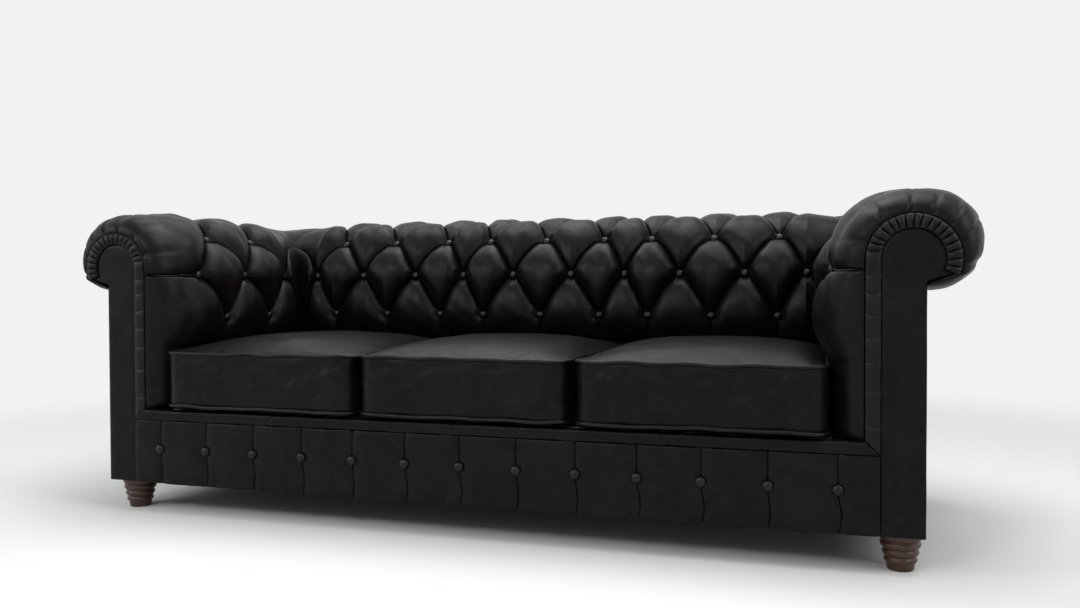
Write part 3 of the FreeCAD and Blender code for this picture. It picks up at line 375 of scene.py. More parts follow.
def finish_mesh(name: str, points: np.ndarray, faces: list, merge: float = 0.00004) -> bpy.types.Object:
    """Makes a closed smooth mesh object at the origin.

    Args:
        name: name of the piece.
        points: array of points and xyz, in millimetres.
        faces: rows of point numbers.
        merge: distance in metres under which points become one.

    Returns:
        The object, in the scene's collection, with faces pointing outwards.
    """
    mesh = bpy.data.meshes.new(name)
    mesh.from_pydata((points.reshape(-1, 3) * MM).tolist(), [], faces)
    work = bmesh.new()
    work.from_mesh(mesh)
    bmesh.ops.remove_doubles(work, verts=work.verts, dist=merge)
    bmesh.ops.dissolve_degenerate(work, edges=work.edges, dist=merge / 4)
    bmesh.ops.recalc_face_normals(work, faces=work.faces)
    work.to_mesh(mesh)
    work.free()
    mesh.polygons.foreach_set("use_smooth", np.ones(len(mesh.polygons), dtype=bool))
    mesh.update()
    piece = bpy.data.objects.new(name, mesh)
    bpy.context.scene.collection.objects.link(piece)
    return piece


def quads(rows: int, columns: int, wrap: bool, start: int = 0, around: bool = False) -> np.ndarray:
    """Point numbers of the quads of a grid.

    Args:
        rows: grid points in the first direction.
        columns: grid points in the second direction.
        wrap: the second direction closes on itself.
        start: number of the first point.
        around: the first direction closes on itself.

    Returns:
        Array with four numbers for each quad.
    """
    i = np.arange(rows if around else rows - 1)[:, None]
    j = np.arange(columns if wrap else columns - 1)[None, :]
    i, j = np.broadcast_arrays(i, j)
    down, right = (i + 1) % rows, (j + 1) % columns
    corners = [i * columns + j, i * columns + right, down * columns + right, down * columns + j]
    return np.stack(corners, axis=-1).reshape(-1, 4) + start


def tube(name: str, points: np.ndarray, capped: bool = True) -> bpy.types.Object:
    """Closed piece from rings of points.

    Args:
        name: name of the piece.
        points: array of rings, points of a ring and xyz.
        capped: flat ends; otherwise the rings close on themselves.

    Returns:
        The object.
    """
    rings, around = points.shape[:2]
    faces = quads(rings, around, True, around=not capped).tolist()
    if capped:
        faces += [list(range(around)), list(range((rings - 1) * around, rings * around))]
    return finish_mesh(name, points, faces)


def shell(name: str, face: np.ndarray, rear: np.ndarray) -> bpy.types.Object:
    """Closed piece from a face and a rear of equally many points, joined round their edges.

    Args:
        name: name of the piece.
        face: array of rows, columns and xyz.
        rear: array of the same shape.

    Returns:
        The object.
    """
    rows, columns = face.shape[:2]
    count = rows * columns
    number = np.arange(count).reshape(rows, columns)
    edge = np.concatenate([number[0], number[1:, -1], number[-1, -2::-1], number[-2:0:-1, 0]])
    after = np.roll(edge, -1)
    rim = np.stack([edge, after, after + count, edge + count], axis=-1)
    faces = np.concatenate([quads(rows, columns, False), quads(rows, columns, False, count), rim]).tolist()
    return finish_mesh(name, np.concatenate([face.reshape(-1, 3), rear.reshape(-1, 3)]), faces)


@dataclass
class Wall:
    """Section shared by arms and back: upright face, sweep outwards and round roll.

    The places front, arm and back are the walls' faces. The cover starts at the height low and its tufts
    at the height start. The button rows are C, B and A from the bottom up, and Z is the crest.
    """

    front: float = -445.5
    arm: float = 820.0
    back: float = 172.5
    low: float = 268.4
    start: float = 430.0
    shoulder: float = 600.0
    roll_d: float = 189.0
    roll_z: float = 677.0
    roll_r: float = 96.0
    ease: float = 8.0
    panel_edge: float = 180.3
    lining_inset: float = 16.0
    button_heights: tuple[tuple[str, float], ...] = (("C", 500.0), ("B", 616.0), ("A", 718.0))
    crest_turn: float = 88.0
    fold_rises: tuple[float, ...] = (0.0, 14.0, 0.0, -6.0, -4.0, 0.0)

    def __post_init__(self) -> None:
        """Works out the sweep arc, the lengths of its parts and the button rows."""
        rise = self.roll_z - self.shoulder
        self.sweep_r = (self.roll_r ** 2 - self.roll_d ** 2 - rise ** 2) / (2 * (self.roll_r - self.roll_d))
        self.turn = math.pi - math.atan2(rise, self.roll_d - self.sweep_r)
        self.straight = self.shoulder - self.start
        self.top = self.straight + self.sweep_r * self.turn
        self.outermost = self.top + self.roll_r * (math.pi - self.turn)
        last_turn = math.acos((self.panel_edge - self.roll_d) / (self.roll_r + self.ease))
        self.end = self.outermost + self.roll_r * last_turn
        self.rows = {row: self.length_at(height) for row, height in self.button_heights}
        self.rows["Z"] = self.straight + self.sweep_r * math.radians(self.crest_turn)
        self.fold_lengths = [0.0, self.rows["C"], self.rows["B"], self.rows["A"], self.rows["Z"], self.end]

    def length_at(self, height: float) -> float:
        """Length at which the upright or sweeping face passes a height.

        Args:
            height: height above the floor.

        Returns:
            The length from the start of the tufts.
        """
        if height <= self.shoulder:
            return height - self.start
        return self.straight + self.sweep_r * math.asin((height - self.shoulder) / self.sweep_r)

    def point(self, length: np.ndarray, rise: np.ndarray) -> tuple[np.ndarray, np.ndarray]:
        """Depth and height at a length along the smooth wall, lifted off it by a rise.

        The wall is a line, then an arc of the sweep's radius about (sweep_r, shoulder), then an arc of
        the roll's radius about its centre; the rise adds to the radius.

        Args:
            length: lengths from the start of the tufts.
            rise: lifts towards the sitter or outwards on the roll.

        Returns:
            Depths and heights.
        """
        on_sweep = (length - self.straight) / self.sweep_r
        on_roll = math.pi - self.turn - (length - self.top) / self.roll_r
        sweep, roll = self.sweep_r + rise, self.roll_r + rise
        choice = [length <= self.straight, length <= self.top]
        depth = np.select(choice, [-rise, self.sweep_r - sweep * np.cos(on_sweep)],
                          self.roll_d + roll * np.cos(on_roll))
        height = np.select(choice, [self.start + length, self.shoulder + sweep * np.sin(on_sweep)],
                           self.roll_z + roll * np.sin(on_roll))
        return depth, height

    def seats(self, row: np.ndarray) -> tuple[np.ndarray, np.ndarray]:
        """Where buttons sit on the folds, and which way they face: the step to a point lifted by 1 mm.

        Args:
            row: lengths up the wall.

        Returns:
            Depths and heights, and the steps in both.
        """
        rise = np.interp(row, self.fold_lengths, self.fold_rises)
        low, high = (np.stack(self.point(row, rise + lift), axis=1) for lift in (0.0, 1.0))
        return low, high - low

    def inside(self) -> np.ndarray:
        """Smooth wall behind the cover, in 14 points from the outside panel down to the bottom.

        Returns:
            Depths and heights.
        """
        turns = np.linspace(0, self.turn, 6)[1:]
        sweep, roll = self.sweep_r - self.lining_inset, self.roll_r - self.lining_inset
        rounds = np.linspace(math.pi - self.turn, -math.acos((self.panel_edge - self.roll_d) / roll), 8)[1:]
        return np.concatenate([
            [[self.lining_inset, self.low], [self.lining_inset, self.shoulder]],
            np.stack([self.sweep_r - sweep * np.cos(turns), self.shoulder + sweep * np.sin(turns)], axis=1),
            np.stack([self.roll_d + roll * np.cos(rounds), self.roll_z + roll * np.sin(rounds)], axis=1),
        ])[::-1]


@dataclass
class Scroll:
    """Scroll of the arm front, in depth and height: its centre, radii and lower end."""

    d: float = 155.0
    z: float = 636.0
    facing: float = 60.5
    band: float = 90.5
    edge: float = 94.5
    drop: float = 26.0
    edge_drop: float = 31.0
    post_end: float = 585.0
    opening_r: float = 92.0

    def point(self, radius: float, angle: np.ndarray) -> tuple[np.ndarray, np.ndarray]:
        """Depth and height on a circle about the centre: centre plus radius times cosine and sine."""
        return self.d + radius * np.cos(angle), self.z + radius * np.sin(angle)

    def opening(self, bottom: float) -> np.ndarray:
        """Edge of the arm cover round the ruched band, in 14 points from the scroll's end to the bottom.

        Args:
            bottom: height of its lower end.

        Returns:
            Depths and heights.
        """
        turns = np.linspace(math.pi, -math.asin(self.drop / self.opening_r), 13)[1:]
        upright = [[self.d - self.opening_r, bottom], [self.d - self.opening_r, self.z]]
        return np.concatenate([upright, np.stack(self.point(self.opening_r, turns), axis=1)])[::-1]


@dataclass
class Tufting:
    """Deep buttoned leather over a wall: swells between straight folds from button to button."""

    wall: Wall
    swells: tuple[float, ...] = (44.0, 37.0, 31.0, 20.0)
    calm_swells: tuple[float, ...] = (20.0, 0.0, 9.0, 0.0)
    rows: tuple[int, ...] = (8, 28, 28, 28, 34, 14)
    bow: float = 6.0
    power: float = 0.64
    side_power: float = 0.66
    crease: float = 3.2
    crease_width: float = 4.5
    calm_start: float = 7.0
    roll_power: float = 1.1
    corner_power: float = 1.4
    full_crease: float = 12.0
    curve: float = 0.68
    steps: int = 26
    seat_share: float = 0.12
    draw_reach: tuple[float, float] = (3.0, 27.0)
    pleat_lift: float = 0.8
    pleat_fade: float = 30.0
    pleat_start: tuple[float, float] = (6.0, 14.0)

    def column(self, share: np.ndarray, calm: np.ndarray, slant: np.ndarray) -> tuple[np.ndarray, np.ndarray]:
        """Lengths and rises up the leather for each place along the wall.

        The folds cut a column into swells. A swell's rise is its height times the sine of pi times the
        way through it, raised to a power under one, so that it is steep beside the folds and round on
        top, less a bell curve that sharpens the fold itself. Its height follows the sine or cosine of a
        quarter turn times the share. Each swell ends in a round arch at the top and in a point at the
        bottom, so a fold leaves one button level and meets the next one upright: its way is partly a
        sine or one less a cosine of a quarter turn.

        Args:
            share: 0 at the buttons of the upper and lower rows, 1 at those of the middle row.
            calm: 1 where the padded arm front is smooth, 0 where it is buttoned.
            slant: 1 or -1 at a mitre, where the swells sink into the corner, 0 elsewhere.

        Returns:
            Lengths and rises, each an array of places along the wall and points up the leather.
        """
        wall, row = self.wall, self.wall.rows
        one = np.ones_like(share)
        bow = np.sin(math.pi * share) ** 2 * self.bow
        sine, cosine = np.sin(share * math.pi / 2), 1 - np.cos(share * math.pi / 2)
        corner = (1 - np.abs(slant)) ** self.corner_power
        grow = np.abs(np.sin(share * math.pi / 2)) ** self.side_power
        fall = np.abs(np.cos(share * math.pi / 2)) ** self.side_power
        cuts = [wall.low - wall.start + 0 * one, 0 * one]
        rises = [0 * one, self.calm_start * calm]
        for low, high, bend in (("C", "B", sine), ("A", "B", cosine), ("A", "Z", sine)):
            at = row[low] + (share + (bend - share) * self.curve) * (row[high] - row[low])
            cuts.append(at)
            rises.append(np.interp(at, wall.fold_lengths, wall.fold_rises) + bow)
        rises[-1] = rises[-1] * (1 - calm) + wall.ease * calm
        outside = wall.ease * (fall * (1 - calm) + calm)
        cuts += [wall.outermost * one, wall.end * one]
        rises += [outside, outside]
        lengths, lifts = [], []
        for part, count in enumerate(self.rows):
            run = spaced(count)[1:] if part else np.linspace(0, 1, count + 1)
            swell = 0 * one
            if 1 <= part <= 4:
                follow = (grow, fall, grow, np.cos(share * math.pi / 2) ** self.roll_power)[part - 1]
                swell = self.swells[part - 1] * follow * (1 - calm) * corner
                swell = swell + self.calm_swells[part - 1] * calm
            span = (cuts[part + 1] - cuts[part])[:, None]
            lengths.append(cuts[part][:, None] + span * run)
            lift = rises[part][:, None] + (rises[part + 1] - rises[part])[:, None] * run
            lift = lift + swell[:, None] * np.abs(np.sin(math.pi * run)) ** self.power
            depth = self.crease * (1 - calm)[:, None] * np.clip(swell / self.full_crease, 0, 1)[:, None]
            for edge, used in ((run, part > 1), (1 - run, part < 4)):
                lift = lift - used * depth * np.exp(-(edge * span / self.crease_width) ** 2)
            lifts.append(lift)
        return np.concatenate(lengths, axis=1), np.concatenate(lifts, axis=1)

    def along(self, knots: list[tuple[float, float, float]]) -> np.ndarray:
        """Places, shares and slants from knot to knot, closer together at the knots.

        Args:
            knots: place, share and slant of each knot.

        Returns:
            Array with a row for each place.
        """
        parts = [np.array(knots[:1])]
        for low, high in zip(knots, knots[1:]):
            run = spaced(self.steps)[1:, None]
            parts.append(np.array(low) + (np.array(high) - np.array(low)) * run)
        return np.concatenate(parts)

    def gathered(self, place: np.ndarray, length: np.ndarray, rise: np.ndarray,
                 buttons: list[tuple[float, float]], seed: int) -> np.ndarray:
        """Draws the leather in at each button, with fine pleats that run out from it.

        Close to a button the rise eases down to the button's own. A pleat is a cosine of the angle
        round the button times a whole number, fading with the square of the distance.

        Args:
            place: places along the wall.
            length: lengths up the wall.
            rise: rises in millimetres.
            buttons: place and length of each button.
            seed: start of the random numbers.

        Returns:
            New rises in millimetres.
        """
        chance = np.random.default_rng(seed)
        for at, row in buttons:
            across, up = place - at, length - row
            far = np.hypot(across, up)
            turn = np.arctan2(up, across)
            rays, phase = int(chance.integers(7, 11)), chance.uniform(0, 2 * math.pi)
            seat = float(np.interp(row, self.wall.fold_lengths, self.wall.fold_rises))
            drawn = self.seat_share + (1 - self.seat_share) * ease(far, *self.draw_reach)
            rise = seat + (rise - seat) * drawn
            fade = self.pleat_lift * np.exp(-(far / self.pleat_fade) ** 2)
            rise = rise + fade * np.cos(rays * turn + phase) * ease(far, *self.pleat_start)
        return rise

    def buttons(self, knots: list[tuple[float, float, float]]) -> list[tuple[float, float]]:
        """Place and length of each button: one in the middle row, or two in the lower and upper rows."""
        return [(at, self.wall.rows[row]) for at, share, slant in knots if not slant
                for row in (("B",) if share else ("C", "A"))]


@dataclass
class CoveredButton:
    """Button covered with the same leather, domed and slightly pinched at its edge."""

    radius: float = 11.5
    height: float = 8.5
    around: int = 20
    fullness: float = 0.8
    tucked: float = 0.93
    rear: tuple[float, float] = (-3.0, -3.4)
    pinches: int = 7

    def template(self) -> np.ndarray:
        """Rings of a dome: radius times sine and height times cosine of a quarter turn, then its rear.

        Returns:
            Array of rings, points of a ring and xyz.
        """
        turn = np.linspace(0, math.pi / 2, 6)
        reach = np.concatenate([self.radius * np.sin(turn), [self.radius * self.tucked, 0.0]])
        lift = np.concatenate([self.height * np.cos(turn) ** self.fullness, self.rear])
        angle = np.linspace(0, 2 * math.pi, self.around, endpoint=False)
        pinch = 1 + 0.02 * np.cos(self.pinches * angle)
        return np.stack([reach[:, None] * np.cos(angle) * pinch, reach[:, None] * np.sin(angle) * pinch,
                         lift[:, None] * np.ones_like(angle)], axis=-1)

    def place(self, name: str, seats: np.ndarray, ways: np.ndarray, sink: float = -2.0) -> bpy.types.Object:
        """One object of many buttons.

        Args:
            name: name of the piece.
            seats: points on which the buttons sit.
            ways: directions in which they face.
            sink: how deep they are pulled in.

        Returns:
            The object.
        """
        shape = self.template()
        rings, around = shape.shape[:2]
        ways = ways / np.linalg.norm(ways, axis=1, keepdims=True)
        side = np.cross(ways, np.array([0.0, 0.0, 1.0]))
        side /= np.linalg.norm(side, axis=1, keepdims=True)
        up = np.cross(side, ways)
        grid = shape.reshape(1, -1, 3)
        flat = side[:, None] * grid[..., :1] + up[:, None] * grid[..., 1:2]
        points = (seats - ways * sink)[:, None] + flat + ways[:, None] * grid[..., 2:]
        faces = [quads(rings, around, True, rings * around * index) for index in range(len(seats))]
        return finish_mesh(name, points, np.concatenate(faces).tolist())


@dataclass
class Back:
    """Buttoned back between the two mitres."""

    tufting: Tufting
    pitch: float = 177.6
    narrow: float = 138.5
    slack: float = 0.9
    slack_wave: float = 60.0

    def knots(self) -> list[tuple[float, float, float]]:
        """Place, share and slant of every button column and of both mitres, left to right.

        Returns:
            The knots.
        """
        outer = [0.0, self.pitch, *[self.narrow + self.pitch * step for step in (1, 2, 3)]]
        right = []
        for here, after in zip(outer, [*outer[1:], self.tufting.wall.arm]):
            right += [(here, 0.0, 0.0), ((here + after) / 2, 1.0, 0.0)]
        right.append((self.tufting.wall.arm, 0.0, 1.0))
        return [(-at, share, -slant) for at, share, slant in right[:0:-1]] + right

    def build(self, finishes: Finishes) -> None:
        """Makes cover and buttons in place of their nodes.

        Args:
            finishes: gives the pieces their finish and their body.
        """
        wall = self.tufting.wall
        knots = self.knots()
        at, share, slant = self.tufting.along(knots).T
        length, rise = self.tufting.column(share, np.zeros_like(share), slant)
        buttons = self.tufting.buttons(knots)
        rise = self.tufting.gathered(at[:, None], length, rise, buttons, 3)
        slack = self.slack * ripple(at[:, None], length, self.slack_wave, 11)
        rise = rise + slack * ease(length, 0, self.slack_wave)
        outer, inner = np.stack(wall.point(length, rise), axis=-1), wall.inside()
        section = np.concatenate([outer, np.broadcast_to(inner, (len(at), *inner.shape))], axis=1)
        depth, height = section[..., 0], section[..., 1]
        points = np.stack([at[:, None] + slant[:, None] * depth, wall.back + depth, height], axis=-1)
        finishes.dress(tube("back_buttoned_leather", points), Slot.body_leather, FRAME_BODY,
                       "back_cover", "back_liner", "back_foam", "back_hessian", fill=0.8)
        place, row = np.array(buttons).T
        seat, way = wall.seats(row)
        seats = np.stack([place, wall.back + seat[:, 0], seat[:, 1]], axis=1)
        ways = np.stack([0 * place, way[:, 0], way[:, 1]], axis=1)
        dots = CoveredButton().place("back_leather_buttons", seats, ways)
        finishes.dress(dots, Slot.button_leather, FRAME_BODY, "back_buttons")
        log.info("back: %d columns of points, %d buttons", len(at), len(buttons))


@dataclass
class Arm:
    """One buttoned arm with its rounded, pleated front; side is 1 on the right and -1 on the left."""

    tufting: Tufting
    scroll: Scroll
    side: int
    pitch: float = 204.0
    first: float = 131.0
    round_off: float = 103.0
    opening_depth: float = 41.0
    calm_until: float = 62.0
    round_above: float = 11.0
    under_share: float = 0.4
    slack: float = 0.8
    slack_wave: float = 60.0
    pleats: tuple[float, ...] = (-13.0, 20.0, 44.0, 69.0, 94.0, 126.0, 160.0)
    pleat_ends: tuple[float, float] = (-32.0, 200.0)
    pleat_width: float = 0.032
    pleat_depth: float = 6.5
    pleat_swell: float = 1.6
    pleat_fade: tuple[float, float] = (34.0, 96.0)
    seam_depth: float = 4.5
    seam_width: float = 3.4
    seam_fade: tuple[float, float] = (118.0, 131.0)

    def knots(self) -> list[tuple[float, float, float]]:
        """Place, share and slant from the first button column to the mitre.

        Returns:
            The knots.
        """
        wall = self.tufting.wall
        middle = [wall.front + self.first + self.pitch * step for step in range(3)]
        knots = [(middle[0], 1.0, 0.0)]
        for here, after in zip(middle, middle[1:]):
            knots += [((here + after) / 2, 0.0, 0.0), (after, 1.0, 0.0)]
        return [*knots, (wall.back, 0.0, 1.0)]

    def contour(self, length: np.ndarray, height: np.ndarray) -> tuple[np.ndarray, np.ndarray, np.ndarray]:
        """Edge round the ruched band that the padded front rounds down to.

        Up to the middle button row it is a straight upright side. From there the angle about the
        scroll's centre falls from a half turn to its lower end, in step with the length, and the rest
        runs straight under the band's end to the outside panel.

        Args:
            length: lengths up the wall.
            height: heights of the same points.

        Returns:
            Depths, heights and angles.
        """
        wall, scroll = self.tufting.wall, self.scroll
        side_end = wall.rows["B"] + self.round_above
        last = wall.outermost + self.under_share * (wall.end - wall.outermost)
        angle = np.interp(length, [side_end, wall.rows["Z"], wall.outermost, last],
                          [math.pi, math.pi / 2, 0.0, -math.asin(scroll.edge_drop / scroll.edge)])
        on_side = length <= side_end
        depth, level = scroll.point(scroll.edge, angle)
        under = np.clip((length - last) / (wall.end - last), 0, 1)
        depth = depth + (wall.panel_edge - depth) * under
        level = level + (scroll.post_end - level) * under
        return np.where(on_side, scroll.d - scroll.edge, depth), np.where(on_side, height, level), angle

    def surface(self) -> tuple[np.ndarray, list[tuple[float, float]]]:
        """Points of the whole closed cover of a right arm, and its buttons.

        The front quarter of a turn rounds off: a share of one less the cosine leads from the wall to
        the contour, while the distance behind the front is one less the sine.

        Returns:
            Array of rings, points and xyz, and place and length of each button.
        """
        wall = self.tufting.wall
        turn = np.linspace(math.pi / 2, 0, 34)
        behind = np.concatenate([self.round_off * (1 - np.sin(turn)),
                                 np.linspace(self.round_off, self.first, 11)[1:-1]])
        front = np.stack([wall.front + behind, np.ones_like(behind), np.zeros_like(behind)], axis=1)
        knots = self.knots()
        at, share, slant = np.concatenate([front, self.tufting.along(knots)]).T
        rounding = np.zeros((len(at), 1))
        rounding[:len(turn), 0] = 1 - np.cos(turn)
        calm = 1 - ease(at - wall.front, self.calm_until, self.first)
        length, rise = self.tufting.column(share, calm, slant)
        buttons = self.tufting.buttons(knots)
        rise = self.tufting.gathered(at[:, None], length, rise, buttons, 5 + self.side)
        slack = self.slack * ripple(at[:, None], length, self.slack_wave, 21 + self.side)
        rise = rise + slack * ease(length, 0, self.slack_wave)
        depth, height = wall.point(length, rise)
        edge_d, edge_z, angle = self.contour(length, height)
        depth = depth + (edge_d - depth) * rounding
        height = height + (edge_z - height) * rounding
        outer = self.placed(at, slant, depth, height)
        outer = lifted(outer, self.front_pleats(at - wall.front, length, angle), self.outward(outer))
        inner = np.where((at - wall.front < self.opening_depth)[:, None, None],
                         self.scroll.opening(wall.low)[None], wall.inside()[None])
        inner = self.placed(at, slant, inner[..., 0], inner[..., 1])
        return np.concatenate([outer, inner], axis=1), buttons

    def placed(self, at: np.ndarray, slant: np.ndarray, depth: np.ndarray, height: np.ndarray) -> np.ndarray:
        """Points of a right arm: at the mitre the place along the arm moves with the depth."""
        along = at[:, None] + slant[:, None] * depth
        return np.stack([self.tufting.wall.arm + depth, along, height], axis=-1)

    def outward(self, points: np.ndarray) -> float:
        """1 where the grid's normals point out of the arm on top of the roll, else -1.

        Args:
            points: array of rings, points and xyz.

        Returns:
            The side that is outward.
        """
        middle = normals_of(points)[len(points) // 2]
        highest = int(np.argmax(points[len(points) // 2, :, 2]))
        return 1.0 if middle[highest, 2] > 0 else -1.0

    def front_pleats(self, behind: np.ndarray, length: np.ndarray, angle: np.ndarray) -> np.ndarray:
        """Radial pleats of the rounded front and the seam that ends at the first button.

        A pleat is a narrow bell curve across its angle, and the leather swells between two pleats like
        the sine of its way from one to the next. Both fade behind the front.

        Args:
            behind: distance behind the arm's front for each ring.
            length: lengths up the wall.
            angle: angles about the scroll.

        Returns:
            Lifts in millimetres.
        """
        wall = self.tufting.wall
        cuts = np.radians(np.array([self.pleat_ends[0], *self.pleats, self.pleat_ends[1]]))
        fade = (1 - ease(behind, *self.pleat_fade))[:, None]
        on_round = (length > wall.rows["B"] + self.round_above).astype(float)
        grooves = sum(np.exp(-((angle - cut) / self.pleat_width) ** 2) for cut in cuts[1:-1])
        index = np.clip(np.searchsorted(cuts, angle) - 1, 0, len(cuts) - 2)
        way = np.clip((angle - cuts[index]) / (cuts[index + 1] - cuts[index]), 0, 1)
        swell = np.sin(math.pi * way) ** 0.6
        seam = np.exp(-((length - wall.rows["B"]) / self.seam_width) ** 2)
        seam = seam * (1 - ease(behind, *self.seam_fade))[:, None]
        pleats = on_round * fade * (self.pleat_swell * swell - self.pleat_depth * grooves)
        return pleats - self.seam_depth * seam

    def build(self, finishes: Finishes) -> None:
        """Makes cover and buttons in place of their nodes.

        Args:
            finishes: gives the pieces their finish and their body.
        """
        wall, name = self.tufting.wall, side_word(self.side) + "_arm"
        points, buttons = self.surface()
        points[..., 0] *= self.side
        finishes.dress(tube(name + "_buttoned_leather", points), Slot.body_leather, FRAME_BODY,
                       name + "_cover", name + "_liner", name + "_foam", name + "_hessian", fill=0.8)
        place, row = np.array(buttons).T
        seat, way = wall.seats(row)
        seats = np.stack([self.side * (wall.arm + seat[:, 0]), place, seat[:, 1]], axis=1)
        ways = np.stack([self.side * way[:, 0], 0 * place, way[:, 1]], axis=1)
        dots = CoveredButton().place(name + "_leather_buttons", seats, ways)
        finishes.dress(dots, Slot.button_leather, FRAME_BODY, name + "_buttons")
        log.info("%s: %d rings", name, len(points))


@dataclass
class ArmFront:
    """Flat facing and ruched band of one arm front; the facing also covers the board under the band."""

    wall: Wall
    scroll: Scroll
    side: int
    band_width: float = 30.0
    base: float = 78.0
    post_edge: float = 180.0
    post_top: float = 560.0
    notch: float = 591.0
    rear: float = 14.8
    proud: float = 0.6
    rim: float = 2.2
    crown: float = 2.6
    slack: float = 0.5
    foot: float = 254.0
    foot_slant: float = 28.0
    ruche: float = 14.5
    uneven: float = 0.16
    overrun: float = 0.03
    edge_lift: float = 1.5
    upright_puff: float = 4.2
    round_puff: float = 2.6
    upright_pleats: tuple[float, ...] = (298.0, 370.0, 429.0, 477.0, 523.0, 568.0, 604.0)

    def put(self, depth: np.ndarray, behind: np.ndarray, height: np.ndarray) -> np.ndarray:
        """Points from depth, distance behind the facing plane and height."""
        depth, behind, height = np.broadcast_arrays(depth, behind, height)
        return np.stack([self.side * (self.wall.arm + depth), self.wall.front + behind, height], axis=-1)

    def facing(self) -> bpy.types.Object:
        """Padded panel: a straight post under a round head, slightly crowned.

        Across each height the depth runs from the left to the right edge of the outline. The crown is
        one less the eighth power of the way off the middle, both across and up.

        Returns:
            The object.
        """
        scroll = self.scroll
        top, end = scroll.z + scroll.facing, scroll.z - scroll.drop
        post, neck = np.linspace(self.base, self.post_top, 60), np.linspace(self.post_top, end, 18)[1:]
        turn = np.linspace(-math.asin(scroll.drop / scroll.facing), math.pi / 2, 30)[1:]
        height = np.concatenate([post, neck, scroll.z + scroll.facing * np.sin(turn)])
        half = np.sqrt(np.maximum(scroll.facing ** 2 - (height - scroll.z) ** 2, 0))
        left = np.where(height < scroll.z, scroll.d - scroll.facing, scroll.d - half)
        under = scroll.d + math.sqrt(scroll.band ** 2 - scroll.drop ** 2) - self.post_edge
        share = np.clip((height - self.notch) / (end - self.notch), 0, 1)
        right = np.where(height < end, self.post_edge + share * under, scroll.d + half)
        way = spaced(26)[None, :]
        depth = left[:, None] + (right - left)[:, None] * way
        up = np.minimum((height - self.base) / 30, (top - height) / 14)
        crown = (1 - np.abs(2 * way - 1) ** 8) * (1 - (1 - np.clip(up, 0, 1)) ** 3)[:, None]
        slack = self.slack * ripple(depth, height[:, None], 90, 31 + self.side)
        face = self.put(depth, self.rim - (self.crown + slack) * crown, height[:, None])
        rear = self.put(depth, self.rear, height[:, None])
        return shell(side_word(self.side) + "_facing_leather", face, rear)

    def band(self) -> bpy.types.Object:
        """Leather strip gathered into pleats, up the post and round the scroll.

        Its middle line is an upright line and an arc. Across the strip the lift is an ellipse; along
        it the lift falls to a fold at each pleat like a root of the sine between two pleats. At its
        foot the strip is mitred into the seat lip.

        Returns:
            The object.
        """
        scroll = self.scroll
        radius = scroll.facing + self.band_width / 2
        end = -math.asin(scroll.drop / radius) - self.overrun
        rise, arc = scroll.z - self.foot, radius * (math.pi - end)
        count = int(arc / self.ruche)
        shift = np.random.default_rng(41).uniform(-self.uneven, self.uneven, count - 1)
        pleats = np.array([0.0, *[z - self.foot for z in self.upright_pleats],
                           *(rise + arc * (np.arange(1, count) + shift) / count), rise + arc])
        run = between(pleats, 12)
        across = np.sin(np.linspace(-math.pi / 2, math.pi / 2, 15)) * self.band_width / 2
        lean = 0.12 * across * np.sin(run[:, None] / 37) * ease(run[:, None], 20, 60)
        s = run[:, None] + lean * ease(rise + arc - run[:, None], 0, 30)
        angle = math.pi - (s - rise) / radius
        reach = radius + across
        depth = np.where(s < rise, scroll.d - reach, scroll.d + reach * np.cos(angle))
        mitre = (across / self.band_width) * self.foot_slant * (1 - ease(s, 0, 40))
        height = np.where(s < rise, self.foot + s + mitre, scroll.z + reach * np.sin(angle))
        index = np.clip(np.searchsorted(pleats, run, side="right") - 1, 0, len(pleats) - 2)
        way = np.clip((run - pleats[index]) / (pleats[index + 1] - pleats[index]), 0, 1)
        tight = ease(run, rise - self.band_width, rise + self.band_width)
        puff = np.sin(math.pi * way) ** (0.5 - 0.2 * (1 - tight))
        dome = np.sqrt(np.maximum(1 - (across / (self.band_width / 2)) ** 2, 0))
        lift = dome * (self.edge_lift + (puff * (self.upright_puff + self.round_puff * tight))[:, None])
        face, rear = (self.put(depth, behind, height) for behind in (-self.proud - lift, self.rear))
        return shell(side_word(self.side) + "_ruched_leather", face, rear)

    def build(self, finishes: Finishes) -> None:
        """Makes facing and band in place of their nodes.

        Args:
            finishes: gives the pieces their finish and their body.
        """
        word = side_word(self.side)
        finishes.dress(self.facing(), Slot.body_leather, FRAME_BODY, word + "_arm_facing", fill=0.9)
        finishes.dress(self.band(), Slot.trim_leather, FRAME_BODY, word + "_ruched_band", fill=0.9)
        log.info("%s arm front", word)


